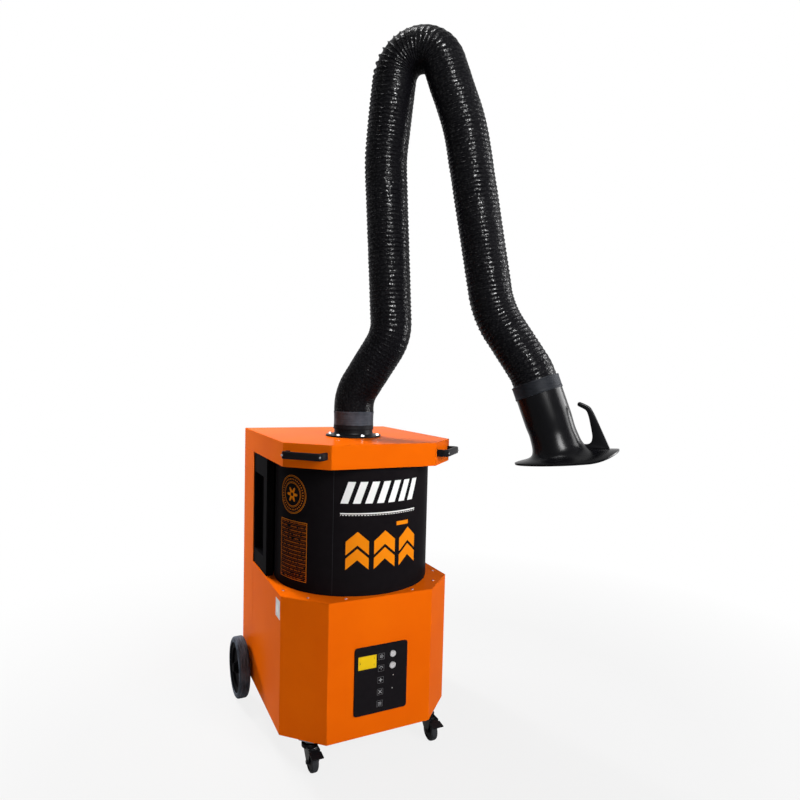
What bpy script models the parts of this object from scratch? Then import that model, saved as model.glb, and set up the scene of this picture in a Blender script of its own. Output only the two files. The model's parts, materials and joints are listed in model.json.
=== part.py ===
# Mobile welding fume extractor: a wheeled sheet-metal filter cabinet with a
# ribbed extraction arm. Metres, +Z up, the front faces -Y.
# The origin is below the middle of the whole object, on the floor.

from math import acos, atan2, cos, hypot, pi, radians, sin, sqrt, tau

import bmesh
import bpy
from mathutils import Matrix, Vector

for thing in list(bpy.data.objects):
    bpy.data.objects.remove(thing, do_unlink=True)

# Fits and tools
GAP = 0.0003
OVERRUN = 0.008
WELD = 0.00001
FACING = 0.99
ALONG_X = (0.0, pi / 2, 0.0)
ALONG_Y = (pi / 2, 0.0, 0.0)
NO_TURN = (0.0, 0.0, 0.0)

# How finely round pieces are divided
DRUM_STEPS = 48
RING_STEPS = 24
BUTTON_STEPS = 16
SMALL_STEPS = 12
SCREW_STEPS = 8
BOLT_SIDES = 6
TUBE_RESOLUTION = 2
ARC_POINTS = 4

# Cabinet
CABINET_WIDTH = 0.655
CABINET_DEPTH = 0.762
CORNER_CHAMFER = 0.130
FLOOR_CLEARANCE = 0.105
BASE_HEIGHT = 0.495
FILTER_BAY_HEIGHT = 0.453
LID_HEIGHT = 0.084
SHEET = 0.002
TOP_PLATE_THICKNESS = 0.002
SCREW_RADIUS = 0.0045
SCREW_HEIGHT = 0.0018
SCREW_SINK = 0.0006
SCREW_INSET = 0.024
FRONT_SCREW_SPACING = 0.256
SIDE_SCREW_SETBACK = 0.190

# Lid handles
HANDLE_LENGTH = 0.158
HANDLE_REACH = 0.044
HANDLE_BAR = 0.015
HANDLE_POST = 0.016
HANDLE_HEIGHT = 0.025
HANDLE_DROP = 0.026
HANDLE_ROUNDING = 0.003

# Filter drum, with its grip boxes and cartridge
DRUM_SIDE_GAP = 0.0315
DRUM_WALL = 0.003
DRUM_SETBACK = 0.018
GRIP_BOX_INSET = 0.003
GRIP_BOX_THICKNESS = 0.026
GRIP_BOX_LENGTH = 0.213
GRIP_BOX_SETBACK = 0.0517
GRIP_DRUM_CLEARANCE = 0.003
POCKET_LENGTH = 0.150
POCKET_REAR_WALL = 0.012
POCKET_HEIGHT = 0.310
POCKET_DEPTH = 0.030
POCKET_DROP = 0.008
PLEAT_COUNT = 40
PLEAT_DRUM_GAP = 0.061
PLEAT_DEPTH = 0.034
MEDIA_WALL = 0.028
MEDIA_HEIGHT = 0.380
SEAL_WIDTH = 0.056
SEAL_HEIGHT = 0.008
CAP_WALL = 0.002
CAP_CLEARANCE = 0.003
CAP_RIM = 0.014
CAP_THICKNESS = 0.004

# Fan
FAN_INLET_RADIUS = 0.110
SHELF_DROP = 0.169
SHELF_THICKNESS = 0.003
HOUSING_HEIGHT = 0.160
HOUSING_SHEET = 0.0015
SCROLL_TONGUE_RADIUS = 0.176
SCROLL_GROWTH = 0.064
SCROLL_TONGUE_ANGLE = radians(60)
SCROLL_POINTS = 17
HOUSING_OUTLET_GAP = 0.083
IMPELLER_RADIUS = 0.158
IMPELLER_PLATE = 0.003
IMPELLER_RISE = 0.018
BLADE_COUNT = 9
BLADE_THICKNESS = 0.003
BLADE_LENGTH = 0.088
BLADE_HEIGHT = 0.070
BLADE_LEAN = radians(38)
HUB_RADIUS = 0.030
HUB_HEIGHT = 0.044
SHAFT_RADIUS = 0.010
SHAFT_SINK = 0.070
SHAFT_HOLE_RADIUS = 0.034
MOTOR_RADIUS = 0.085
MOTOR_FLANGE_RADIUS = 0.102
MOTOR_FLANGE = 0.010
MOTOR_LENGTH = 0.200
MOTOR_BELL_RADIUS = 0.062
MOTOR_BELL_LENGTH = 0.026

# Outlet grille and cable gland on the back
GRILLE_WIDTH = 0.470
GRILLE_HEIGHT = 0.220
GRILLE_LIP = 0.018
GRILLE_THICKNESS = 0.0015
GRILLE_RISE = 0.235
SLOT_COUNT = 9
SLOT_HEIGHT = 0.010
SLOT_MARGIN = 0.030
GLAND_RADIUS = 0.015
GLAND_REACH = 0.022
GLAND_FLANGE_RADIUS = 0.019
GLAND_FLANGE = 0.004
GLAND_BORE = 0.006
GLAND_DOME_SHARE = 0.75
GLAND_DOME_REACH_SHARE = 0.67
GLAND_SPIGOT_RADIUS = 0.010
GLAND_SPIGOT_LENGTH = 0.012
GLAND_SIDE = 0.210
GLAND_RISE = 0.110

# Control panel
PANEL_WIDTH = 0.202
PANEL_HEIGHT = 0.245
PANEL_THICKNESS = 0.004
PANEL_CORNER = 0.010
PANEL_RISE = 0.0785
PANEL_CUT_MARGIN = 0.020
BUTTON_RADIUS = 0.0115
BUTTON_PROUD = 0.0045
BUTTON_DEPTH = 0.0085
BUTTON_STEM_RADIUS = 0.005
BUTTON_STEM_LENGTH = 0.020
BUTTON_ROUNDING = 0.0012
BUTTON_CLEARANCE = 0.0004
BUTTON_SIDE = 0.0425
START_BUTTON_DROP = 0.0395
BUTTON_SPACING = 0.042
CONTROL_BOX_DEPTH = 0.090
CONTROL_BOX_MARGIN = 0.008

# Rear wheels
WHEEL_RADIUS = 0.125
WHEEL_WIDTH = 0.045
WHEEL_CABINET_GAP = 0.011
WHEEL_SETBACK_SHARE = 0.5464
TYRE_DEPTH = 0.038
TYRE_ROUNDING = 0.009
HUB_WEB = 0.014
HUB_RIM = 0.007
HUB_BOSS_RADIUS = 0.024
HUB_BOSS_WIDTH = 0.038
AXLE_RADIUS = 0.010
AXLE_CLEARANCE = 0.0003
AXLE_PROUD = 0.004
HUB_CAP_RADIUS = 0.019
HUB_CAP_LENGTH = 0.008
HUB_CAP_CHAMFER = 0.003
SPACER_RADIUS = 0.016

# Braked front casters
CASTER_SIDE = 0.232
CASTER_SETBACK = 0.077
CASTER_PLATE = 0.058
CASTER_PLATE_THICKNESS = 0.003
CASTER_RADIUS = 0.0375
CASTER_WIDTH = 0.028
CASTER_TRAIL = 0.034
CASTER_CHEEK = 0.0025
CASTER_CHEEK_CLEARANCE = 0.003
CASTER_TREAD_ROUNDING = 0.004
CROWN_RADIUS = 0.029
CROWN_THICKNESS = 0.004
CROWN_DROP = 0.0155
RACE_RADIUS = 0.019
KING_PIN_RADIUS = 0.006
KING_HEAD_RADIUS = 0.010
KING_HEAD = 0.003
CASTER_BOLT_RADIUS = 0.004
CASTER_BOLT_HEAD_RADIUS = 0.007
CASTER_BOLT_HEAD = 0.003
CHEEK_FOOT_RADIUS = 0.011
CHEEK_TOP_REAR = 0.026
CHEEK_TOP_FRONT = 0.026
PEDAL_PIVOT_RISE = 0.044
PEDAL_PIVOT_AHEAD = 0.018
PEDAL_PIN_RADIUS = 0.0028
PEDAL_THICKNESS = 0.004
PEDAL_REACH = 0.043
PEDAL_DROP = 0.004
PEDAL_WIDTH = 0.026
TREAD_WIDTH = 0.042
TREAD_LENGTH = 0.032

# Arm flange, collar and cuffs
FLANGE_RADIUS = 0.107
FLANGE_THICKNESS = 0.006
FLANGE_BOLT_COUNT = 6
FLANGE_BOLT_CIRCLE = 0.092
FLANGE_BOLT_RADIUS = 0.0075
FLANGE_BOLT_HEIGHT = 0.007
NECK_RADIUS = 0.0745
NECK_WALL = 0.004
NECK_HEIGHT = 0.028
NECK_FILLET = 0.008
NECK_DEPTH = 0.090
COLLAR_HEIGHT = 0.069
SPIGOT_LENGTH = 0.020
SWIVEL_CLEARANCE = 0.0008
SPIGOT_WALL = 0.002
CUFF_WALL = 0.003

# Hose route, seen from the arm's side, from the lower cuff to the hood's cuff
ARM_HEADING = radians(-45)
BASE_RISE = 0.015
BASE_LEAN = radians(33)
BASE_LEAN_RADIUS = 0.160
BASE_SLOPE = 0.171
BASE_RETURN = radians(36.5)
BASE_RETURN_RADIUS = 0.170
LOWER_STRAIGHT = 0.547
LOWER_SWAY = radians(9.5)
LOWER_SWAY_RADIUS = 0.600
LOWER_TOP_STRAIGHT = 0.256
ELBOW_TURN = radians(154)
ELBOW_RADIUS = 0.098
UPPER_TOP_STRAIGHT = 0.176
UPPER_SWAY = radians(9.5)
UPPER_SWAY_RADIUS = 0.800
UPPER_STRAIGHT = 0.536
HOOD_LEAN = radians(24)
HOOD_LEAN_RADIUS = 0.350
HOOD_SLOPE = 0.158
HOOD_RETURN = radians(13.7)
HOOD_RETURN_RADIUS = 0.200
HOOD_RUN = 0.012

# Hose
HOSE_RADIUS = 0.080
RIB_DEPTH = 0.0055
RIB_PITCH = 0.016
HOSE_WALL = 0.0065
RUN_BORE_RIBS = 4
BEND_BORE_RIBS = 2
ELBOW_BORE_RIBS = 1
BEND_MARGIN = 0.032

# Arm skeleton inside the hose
LINK_RADIUS = 0.0095
EYE_RADIUS = 0.017
EYE_WIDTH = 0.020
FORK_WIDTH = 0.036
FORK_LENGTH = 0.044
FORK_RADIUS = 0.016
FORK_CLEARANCE = 0.005
PIN_RADIUS = 0.006
PIN_HEAD_RADIUS = 0.0095
PIN_HEAD = 0.003
POST_SINK = 0.040
SHOULDER_STATION = 0.270
LOWER_LINK_STATION = 1.215
UPPER_LINK_STATION = 1.650
UPPER_KNEE_STATION = 2.400
HOOD_PIVOT_ABOVE_CUFF = 0.062

# Hood
HOOD_CUFF_LENGTH = 0.048
KNUCKLE_RADIUS = 0.0745
KNUCKLE_WALL = 0.004
KNUCKLE_SPIGOT = 0.032
HOOD_CUFF_RADIUS = 0.086
HOOD_RADIUS = 0.083
HOOD_WALL = 0.003
HOOD_SEAT = 0.034
HOOD_NECK_DROP = 0.095
HOOD_THROAT_RADIUS = 0.082
HOOD_THROAT_DROP = 0.150
HOOD_THROAT_SLOPE = radians(-8)
HOOD_FLARE_RADIUS = 0.098
HOOD_FLARE_DROP = 0.2125
HOOD_FLARE_SHIFT = 0.002
HOOD_FLARE_SLOPE = radians(-8.5)
RIM_DROP = 0.2466
RIM_SHIFT = 0.014
RIM_LENGTH = 0.360
RIM_WIDTH = 0.284
RIM_SLOPE = radians(-13.5)
RIM_SWELL = 0.22
RIM_LIFT = 0.024
RIM_LIFT_START = 0.45
RIM_LIP = 0.007
RIM_EDGE = 0.003
HOOD_SIDES = 24
HOOK_THICKNESS = 0.016
DAMPER_DROP = 0.098
DAMPER_RADIUS = 0.074
DAMPER_THICKNESS = 0.002
SPINDLE_RADIUS = 0.004
SPINDLE_CLEARANCE = 0.0003
DAMPER_LEVER_LENGTH = 0.034
DAMPER_LEVER_WIDTH = 0.010
DAMPER_LEVER_THICKNESS = 0.004
DAMPER_LEVER_GAP = 0.003

# Sizes worked out from the ones above
HALF_WIDTH = CABINET_WIDTH / 2
FRONT = -CABINET_DEPTH / 2
BACK = CABINET_DEPTH / 2
BASE_TOP = FLOOR_CLEARANCE + BASE_HEIGHT
LID_BOTTOM = BASE_TOP + FILTER_BAY_HEIGHT
LID_TOP = LID_BOTTOM + LID_HEIGHT
DRUM_RADIUS = HALF_WIDTH - DRUM_SIDE_GAP
DRUM_Y = FRONT + DRUM_SETBACK + DRUM_RADIUS
GRIP_BOX_FRONT = DRUM_Y + GRIP_BOX_SETBACK
COLUMN_FRONT = GRIP_BOX_FRONT + GRIP_BOX_LENGTH + GAP
PLEAT_RADIUS = DRUM_RADIUS - DRUM_WALL - PLEAT_DRUM_GAP
MEDIA_BORE_RADIUS = PLEAT_RADIUS - PLEAT_DEPTH - MEDIA_WALL
SHELF_TOP = BASE_TOP - SHELF_DROP
HOUSING_BOTTOM = SHELF_TOP + GAP
AXLE_Y = BACK - (BACK - COLUMN_FRONT) * WHEEL_SETBACK_SHARE
WHEEL_X = HALF_WIDTH + WHEEL_CABINET_GAP + WHEEL_WIDTH / 2
PANEL_Z = FLOOR_CLEARANCE + PANEL_RISE + PANEL_HEIGHT / 2
PANEL_FACE = FRONT - GAP - PANEL_THICKNESS
CASTER_Y = FRONT + CASTER_SETBACK
COLLAR_BOTTOM = LID_TOP + GAP + NECK_HEIGHT + GAP
COLLAR_TOP = COLLAR_BOTTOM + COLLAR_HEIGHT
NECK_BORE = NECK_RADIUS - NECK_WALL
COLLAR_RADIUS = NECK_RADIUS + GAP
HOSE_ROOT = HOSE_RADIUS - RIB_DEPTH
HOSE_BORE = HOSE_ROOT - HOSE_WALL

part = bpy.data.collections.new("mobile_fume_extractor")
cutters = bpy.data.collections.new("cutters")
bpy.context.scene.collection.children.link(part)
bpy.context.scene.collection.children.link(cutters)

# Finishes: colour, roughness, metallic
FINISHES = {
    "orange_paint": ((0.84, 0.14, 0.003), 0.42, 0.0),
    "black_paint": ((0.012, 0.011, 0.012), 0.45, 0.0),
    "black_plastic": ((0.017, 0.016, 0.019), 0.35, 0.0),
    "hose_fabric": ((0.013, 0.012, 0.015), 0.30, 0.0),
    "grey_rubber": ((0.10, 0.10, 0.11), 0.60, 0.0),
    "tyre_rubber": ((0.045, 0.050, 0.062), 0.75, 0.0),
    "steel": ((0.50, 0.50, 0.51), 0.35, 1.0),
    "zinc": ((0.62, 0.63, 0.65), 0.40, 1.0),
    "cast_aluminium": ((0.55, 0.56, 0.57), 0.50, 1.0),
    "white_plastic": ((0.82, 0.82, 0.80), 0.30, 0.0),
    "filter_paper": ((0.78, 0.76, 0.70), 0.90, 0.0),
}


# Building tools


def empty(name, place, parent=None, turn=NO_TURN):
    marker = bpy.data.objects.new(name, None)
    part.objects.link(marker)
    marker.location = place
    marker.rotation_euler = turn
    marker.parent = parent
    return marker


def add_mesh(name, mesh, place, parent, finish, turn=NO_TURN):
    # A piece with a finish joins the part; one without is a cutter.
    thing = bpy.data.objects.new(name, mesh)
    thing.location = place
    thing.rotation_euler = turn
    thing.parent = parent
    if finish is None:
        cutters.objects.link(thing)
        thing.hide_render = True
        thing.display_type = "WIRE"
        return thing
    part.objects.link(thing)
    colour, roughness, metallic = FINISHES[finish]
    paint = bpy.data.materials.new(name + "_" + finish)
    paint.use_nodes = True
    shader = paint.node_tree.nodes["Principled BSDF"]
    shader.inputs["Base Color"].default_value = (*colour, 1.0)
    shader.inputs["Roughness"].default_value = roughness
    shader.inputs["Metallic"].default_value = metallic
    mesh.materials.clear()
    mesh.materials.append(paint)
    return thing


def new_mesh(name, body):
    mesh = bpy.data.meshes.new(name)
    body.to_mesh(mesh)
    body.free()
    return mesh


def box(name, size, place, parent, finish=None, turn=NO_TURN):
    body = bmesh.new()
    bmesh.ops.create_cube(body, size=1.0, matrix=Matrix.Diagonal((*size, 1.0)))
    return add_mesh(name, new_mesh(name, body), place, parent, finish, turn)


def boxes(name, size, places, parent):
    # One cutter made of several equal boxes.
    body = bmesh.new()
    for place in places:
        scale = Matrix.Diagonal((*size, 1.0))
        bmesh.ops.create_cube(body, size=1.0, matrix=Matrix.Translation(place) @ scale)
    return add_mesh(name, new_mesh(name, body), (0, 0, 0), parent, None)


def rod(name, radius, length, place, parent, finish=None, turn=NO_TURN, sides=RING_STEPS):
    body = bmesh.new()
    bmesh.ops.create_cone(body, cap_ends=True, segments=sides, radius1=radius, radius2=radius,
                          depth=length)
    return add_mesh(name, new_mesh(name, body), place, parent, finish, turn)


def turned(name, profile, place, parent, finish=None, turn=NO_TURN, steps=RING_STEPS):
    # The profile is (radius, height) points down the outer side. It closes on
    # itself, or on the axis where it starts and ends at radius zero.
    mesh = bpy.data.meshes.new(name)
    edges = [(k, k + 1) for k in range(len(profile) - 1)]
    if profile[0][0] > 0:
        edges.append((len(profile) - 1, 0))
    mesh.from_pydata([(radius, 0.0, height) for radius, height in profile], edges, [])
    thing = add_mesh(name, mesh, place, parent, finish, turn)
    screw = thing.modifiers.new("turn", "SCREW")
    screw.steps = steps
    screw.render_steps = steps
    screw.use_merge_vertices = True
    screw.merge_threshold = WELD
    return thing


def ring_profile(outer, inner, bottom, top):
    return [(outer, top), (outer, bottom), (inner, bottom), (inner, top)]


def weld_curve(guide):
    # Takes the evaluated curve as one closed mesh and removes the curve.
    bpy.context.view_layer.update()
    evaluated = guide.evaluated_get(bpy.context.evaluated_depsgraph_get())
    mesh = bpy.data.meshes.new_from_object(evaluated)
    body = bmesh.new()
    body.from_mesh(mesh)
    bmesh.ops.remove_doubles(body, verts=body.verts, dist=WELD)
    bmesh.ops.recalc_face_normals(body, faces=body.faces)
    body.to_mesh(mesh)
    body.free()
    bpy.data.objects.remove(guide, do_unlink=True)
    return mesh


def prism(name, outlines, thickness, place, parent, finish=None, turn=NO_TURN):
    # A flat outline, with any holes as further outlines, centred on its place.
    curve = bpy.data.curves.new(name, "CURVE")
    curve.dimensions = "2D"
    curve.fill_mode = "BOTH"
    curve.extrude = thickness / 2
    for outline in outlines:
        spline = curve.splines.new("POLY")
        spline.points.add(len(outline) - 1)
        spline.use_cyclic_u = True
        for knot, (x, y) in zip(spline.points, outline):
            knot.co = (x, y, 0.0, 1.0)
    guide = bpy.data.objects.new(name, curve)
    cutters.objects.link(guide)
    return add_mesh(name, weld_curve(guide), place, parent, finish, turn)


def tube(name, points, depth, shares, resolution, place, parent, finish=None):
    # A round tube through the points; each share scales its radius there.
    curve = bpy.data.curves.new(name, "CURVE")
    curve.dimensions = "3D"
    curve.bevel_depth = depth
    curve.bevel_resolution = resolution
    curve.use_fill_caps = True
    spline = curve.splines.new("POLY")
    spline.points.add(len(points) - 1)
    for knot, point, share in zip(spline.points, points, shares):
        knot.co = (*point, 1.0)
        knot.radius = share
    guide = bpy.data.objects.new(name, curve)
    cutters.objects.link(guide)
    return add_mesh(name, weld_curve(guide), place, parent, finish)


def shape(thing, tool, operation):
    modifier = thing.modifiers.new(tool.name, "BOOLEAN")
    modifier.operation = operation
    modifier.object = tool
    modifier.solver = "EXACT"


def cut(thing, tool):
    shape(thing, tool, "DIFFERENCE")


def join(thing, tool):
    shape(thing, tool, "UNION")


def open_towards(thing, *directions):
    # Takes off the faces that look the given ways, so the body is a skin.
    body = bmesh.new()
    body.from_mesh(thing.data)
    body.normal_update()
    lost = [face for face in body.faces
            if any(face.normal.dot(Vector(way)) > FACING for way in directions)]
    bmesh.ops.delete(body, geom=lost, context="FACES")
    body.to_mesh(thing.data)
    body.free()


def thicken(thing, thickness):
    wall = thing.modifiers.new("wall", "SOLIDIFY")
    wall.thickness = thickness
    wall.offset = -1.0
    wall.use_even_offset = True


def round_edges(thing, width):
    bevel = thing.modifiers.new("rounding", "BEVEL")
    bevel.width = width
    bevel.segments = 1
    bevel.limit_method = "ANGLE"


def arc(centre_x, centre_y, radius, start, end, points=ARC_POINTS):
    angles = [start + (end - start) * k / (points - 1) for k in range(points)]
    return [(centre_x + radius * cos(a), centre_y + radius * sin(a)) for a in angles]


def cabinet_outline(inset, rear):
    # The plan of the cabinet: square at the rear, both front corners cut off.
    side = HALF_WIDTH - inset
    front = FRONT + inset
    slip = inset * (sqrt(2) - 1)
    cut_x = HALF_WIDTH - CORNER_CHAMFER - slip
    cut_y = FRONT + CORNER_CHAMFER + slip
    return [(side, rear), (-side, rear), (-side, cut_y), (-cut_x, front), (cut_x, front),
            (side, cut_y)]


def layer(name, outlines, bottom, top, parent, finish=None):
    return prism(name, outlines, top - bottom, (0, 0, (bottom + top) / 2), parent, finish)


frame = empty("object_frame", (0, 0, 0))


# Cabinet


def build_base():
    rear = COLUMN_FRONT - GAP
    shell = layer("base_shell", [cabinet_outline(0, rear)], FLOOR_CLEARANCE,
                  BASE_TOP - TOP_PLATE_THICKNESS - GAP, frame, "orange_paint")
    open_towards(shell, (0, 0, 1), (0, 1, 0))
    thicken(shell, SHEET)
    window = (PANEL_WIDTH - 2 * PANEL_CUT_MARGIN, 2 * OVERRUN,
              PANEL_HEIGHT - 2 * PANEL_CUT_MARGIN)
    cut(shell, box("panel_window", window, (0, FRONT, PANEL_Z), frame))

    plate = layer("base_top_plate", [cabinet_outline(0, rear)], BASE_TOP - TOP_PLATE_THICKNESS,
                  BASE_TOP, frame, "orange_paint")
    cut(plate, rod("fan_inlet_hole", FAN_INLET_RADIUS, 2 * OVERRUN, (0, DRUM_Y, BASE_TOP), frame))
    side = HALF_WIDTH - SCREW_INSET
    front = FRONT + SCREW_INSET
    slant = CORNER_CHAMFER / 2 + SCREW_INSET / sqrt(2)
    places = []
    for hand in (-1, 1):
        places.append((hand * FRONT_SCREW_SPACING / 2, front))
        places.append((hand * (HALF_WIDTH - slant), FRONT + slant))
        places.append((hand * side, FRONT + SIDE_SCREW_SETBACK))
    height = SCREW_HEIGHT + SCREW_SINK
    for k, (x, y) in enumerate(places):
        z = BASE_TOP + height / 2 - SCREW_SINK
        join(plate, rod("plate_screw_%d" % k, SCREW_RADIUS, height, (x, y, z), frame,
                        sides=SCREW_STEPS))


def build_column():
    outline = [(HALF_WIDTH, BACK), (-HALF_WIDTH, BACK), (-HALF_WIDTH, COLUMN_FRONT),
               (HALF_WIDTH, COLUMN_FRONT)]
    column = layer("rear_column", [outline], FLOOR_CLEARANCE, LID_BOTTOM - GAP, frame,
                   "orange_paint")
    open_towards(column, (0, -1, 0))
    thicken(column, SHEET)
    cut(column, rod("drum_relief", DRUM_RADIUS + GRIP_DRUM_CLEARANCE, 2 * OVERRUN,
                    (0, DRUM_Y, LID_BOTTOM), frame, sides=DRUM_STEPS))
    cut(column, rod("axle_holes", AXLE_RADIUS + AXLE_CLEARANCE, CABINET_WIDTH + 2 * OVERRUN,
                    (0, AXLE_Y, WHEEL_RADIUS), frame, turn=ALONG_X, sides=SMALL_STEPS))
    grille_z = FLOOR_CLEARANCE + GRILLE_RISE + GRILLE_HEIGHT / 2
    window = (GRILLE_WIDTH - 2 * GRILLE_LIP, 2 * OVERRUN, GRILLE_HEIGHT - 2 * GRILLE_LIP)
    cut(column, box("grille_window", window, (0, BACK, grille_z), frame))
    gland_place = (GLAND_SIDE, BACK, FLOOR_CLEARANCE + GLAND_RISE)
    cut(column, rod("gland_hole", GLAND_SPIGOT_RADIUS + GAP, 2 * OVERRUN, gland_place, frame,
                    turn=ALONG_Y, sides=SMALL_STEPS))

    size = (GRILLE_WIDTH, GRILLE_THICKNESS, GRILLE_HEIGHT)
    place = (0, BACK + GAP + GRILLE_THICKNESS / 2, grille_z)
    grille = box("outlet_grille", size, place, frame, "black_paint")
    pitch = (GRILLE_HEIGHT - 2 * SLOT_MARGIN - SLOT_HEIGHT) / (SLOT_COUNT - 1)
    lowest = grille_z - pitch * (SLOT_COUNT - 1) / 2
    slots = [(0, place[1], lowest + pitch * k) for k in range(SLOT_COUNT)]
    cut(grille, boxes("grille_slots", (GRILLE_WIDTH - 2 * SLOT_MARGIN, 2 * OVERRUN, SLOT_HEIGHT),
                      slots, frame))

    # The gland's axis points out of the back, so its profile's height is reach.
    flange = GAP
    profile = [(GLAND_BORE, GLAND_REACH), (GLAND_RADIUS * GLAND_DOME_SHARE, GLAND_REACH),
               (GLAND_RADIUS, GLAND_REACH * GLAND_DOME_REACH_SHARE),
               (GLAND_RADIUS, GLAND_FLANGE + flange), (GLAND_FLANGE_RADIUS, GLAND_FLANGE + flange),
               (GLAND_FLANGE_RADIUS, flange),
               (GLAND_SPIGOT_RADIUS, flange), (GLAND_SPIGOT_RADIUS, -GLAND_SPIGOT_LENGTH),
               (GLAND_BORE, -GLAND_SPIGOT_LENGTH)]
    turned("cable_gland", profile, gland_place, frame, "black_plastic", turn=(-pi / 2, 0, 0),
           steps=SMALL_STEPS)


def build_lid():
    lid = layer("lid_shell", [cabinet_outline(0, BACK)], LID_BOTTOM, LID_TOP, frame,
                "orange_paint")
    open_towards(lid, (0, 0, -1))
    thicken(lid, SHEET)
    cut(lid, rod("lid_hole", NECK_RADIUS + GAP, 2 * OVERRUN, (0, DRUM_Y, LID_TOP), frame))
    inset = SHEET + GAP
    under = layer("lid_underplate", [cabinet_outline(inset, BACK - inset)], LID_BOTTOM,
                  LID_BOTTOM + SHEET, frame, "orange_paint")
    cut(under, rod("underplate_hole", NECK_RADIUS + GAP, 2 * OVERRUN, (0, DRUM_Y, LID_BOTTOM),
                   frame))
    half = HANDLE_LENGTH / 2
    inner = half - HANDLE_POST
    palm = HANDLE_REACH - HANDLE_BAR
    outline = [(-half, 0), (-half, -HANDLE_REACH), (half, -HANDLE_REACH), (half, 0),
               (inner, 0), (inner, -palm), (-inner, -palm), (-inner, 0)]
    middle = CORNER_CHAMFER / 2
    for name, hand in (("handle_left", -1), ("handle_right", 1)):
        out = GAP / sqrt(2)
        place = (hand * (HALF_WIDTH - middle + out), FRONT + middle - out,
                 LID_TOP - HANDLE_DROP - HANDLE_HEIGHT / 2)
        handle = prism(name, [outline], HANDLE_HEIGHT, place, frame, "black_plastic",
                       turn=(0, 0, hand * pi / 4))
        round_edges(handle, HANDLE_ROUNDING)


# Filter


def build_filter():
    bottom = BASE_TOP + GAP
    top = LID_BOTTOM - GAP
    turned("filter_drum", ring_profile(DRUM_RADIUS, DRUM_RADIUS - DRUM_WALL, bottom, top),
           (0, DRUM_Y, 0), frame, "black_paint", steps=DRUM_STEPS)

    # A grip box's inner side runs along a tangent of the drum's clearance circle.
    outer = HALF_WIDTH - GRIP_BOX_INSET
    inner = outer - GRIP_BOX_THICKNESS
    rear = COLUMN_FRONT - GAP
    front = GRIP_BOX_FRONT
    reach = DRUM_RADIUS + GRIP_DRUM_CLEARANCE
    offset_y = front - DRUM_Y
    touch = atan2(offset_y, inner) + acos(reach / hypot(inner, offset_y))
    touch_y = DRUM_Y + reach * sin(touch)
    inner_rear = reach * cos(touch) - (rear - touch_y) * sin(touch) / cos(touch)
    outline = [(outer, front), (outer, rear), (inner_rear, rear), (inner, front)]
    pocket_z = (bottom + top) / 2 - POCKET_DROP
    for name, hand in (("grip_box_left", -1), ("grip_box_right", 1)):
        points = [(hand * x, y) for x, y in outline]
        grip = layer(name, [points], bottom, top, frame, "black_plastic")
        pocket = (2 * POCKET_DEPTH, POCKET_LENGTH, POCKET_HEIGHT)
        place = (hand * outer, rear - POCKET_REAR_WALL - POCKET_LENGTH / 2, pocket_z)
        cut(grip, box(name + "_pocket", pocket, place, frame))

    seal_top = bottom + SEAL_HEIGHT
    seal_outer = MEDIA_BORE_RADIUS + SEAL_WIDTH
    turned("filter_seal", ring_profile(seal_outer, MEDIA_BORE_RADIUS, bottom, seal_top),
           (0, DRUM_Y, 0), frame, "tyre_rubber")
    media_bottom = seal_top + GAP
    media_top = media_bottom + MEDIA_HEIGHT
    pleats = []
    for k in range(2 * PLEAT_COUNT):
        radius = PLEAT_RADIUS - PLEAT_DEPTH * (k % 2)
        angle = tau * k / (2 * PLEAT_COUNT)
        pleats.append((radius * cos(angle), DRUM_Y + radius * sin(angle)))
    bore = arc(0, DRUM_Y, MEDIA_BORE_RADIUS, 0, tau * (1 - 1 / RING_STEPS), RING_STEPS)
    layer("filter_media", [pleats, bore], media_bottom, media_top, frame, "filter_paper")
    under = media_top + GAP
    cap_bore = PLEAT_RADIUS + CAP_CLEARANCE
    cap_radius = cap_bore + CAP_WALL
    profile = [(0, under + CAP_THICKNESS), (cap_radius, under + CAP_THICKNESS),
               (cap_radius, under - CAP_RIM), (cap_bore, under - CAP_RIM), (cap_bore, under),
               (0, under)]
    turned("filter_cap", profile, (0, DRUM_Y, 0), frame, "zinc")


# Fan


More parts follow.
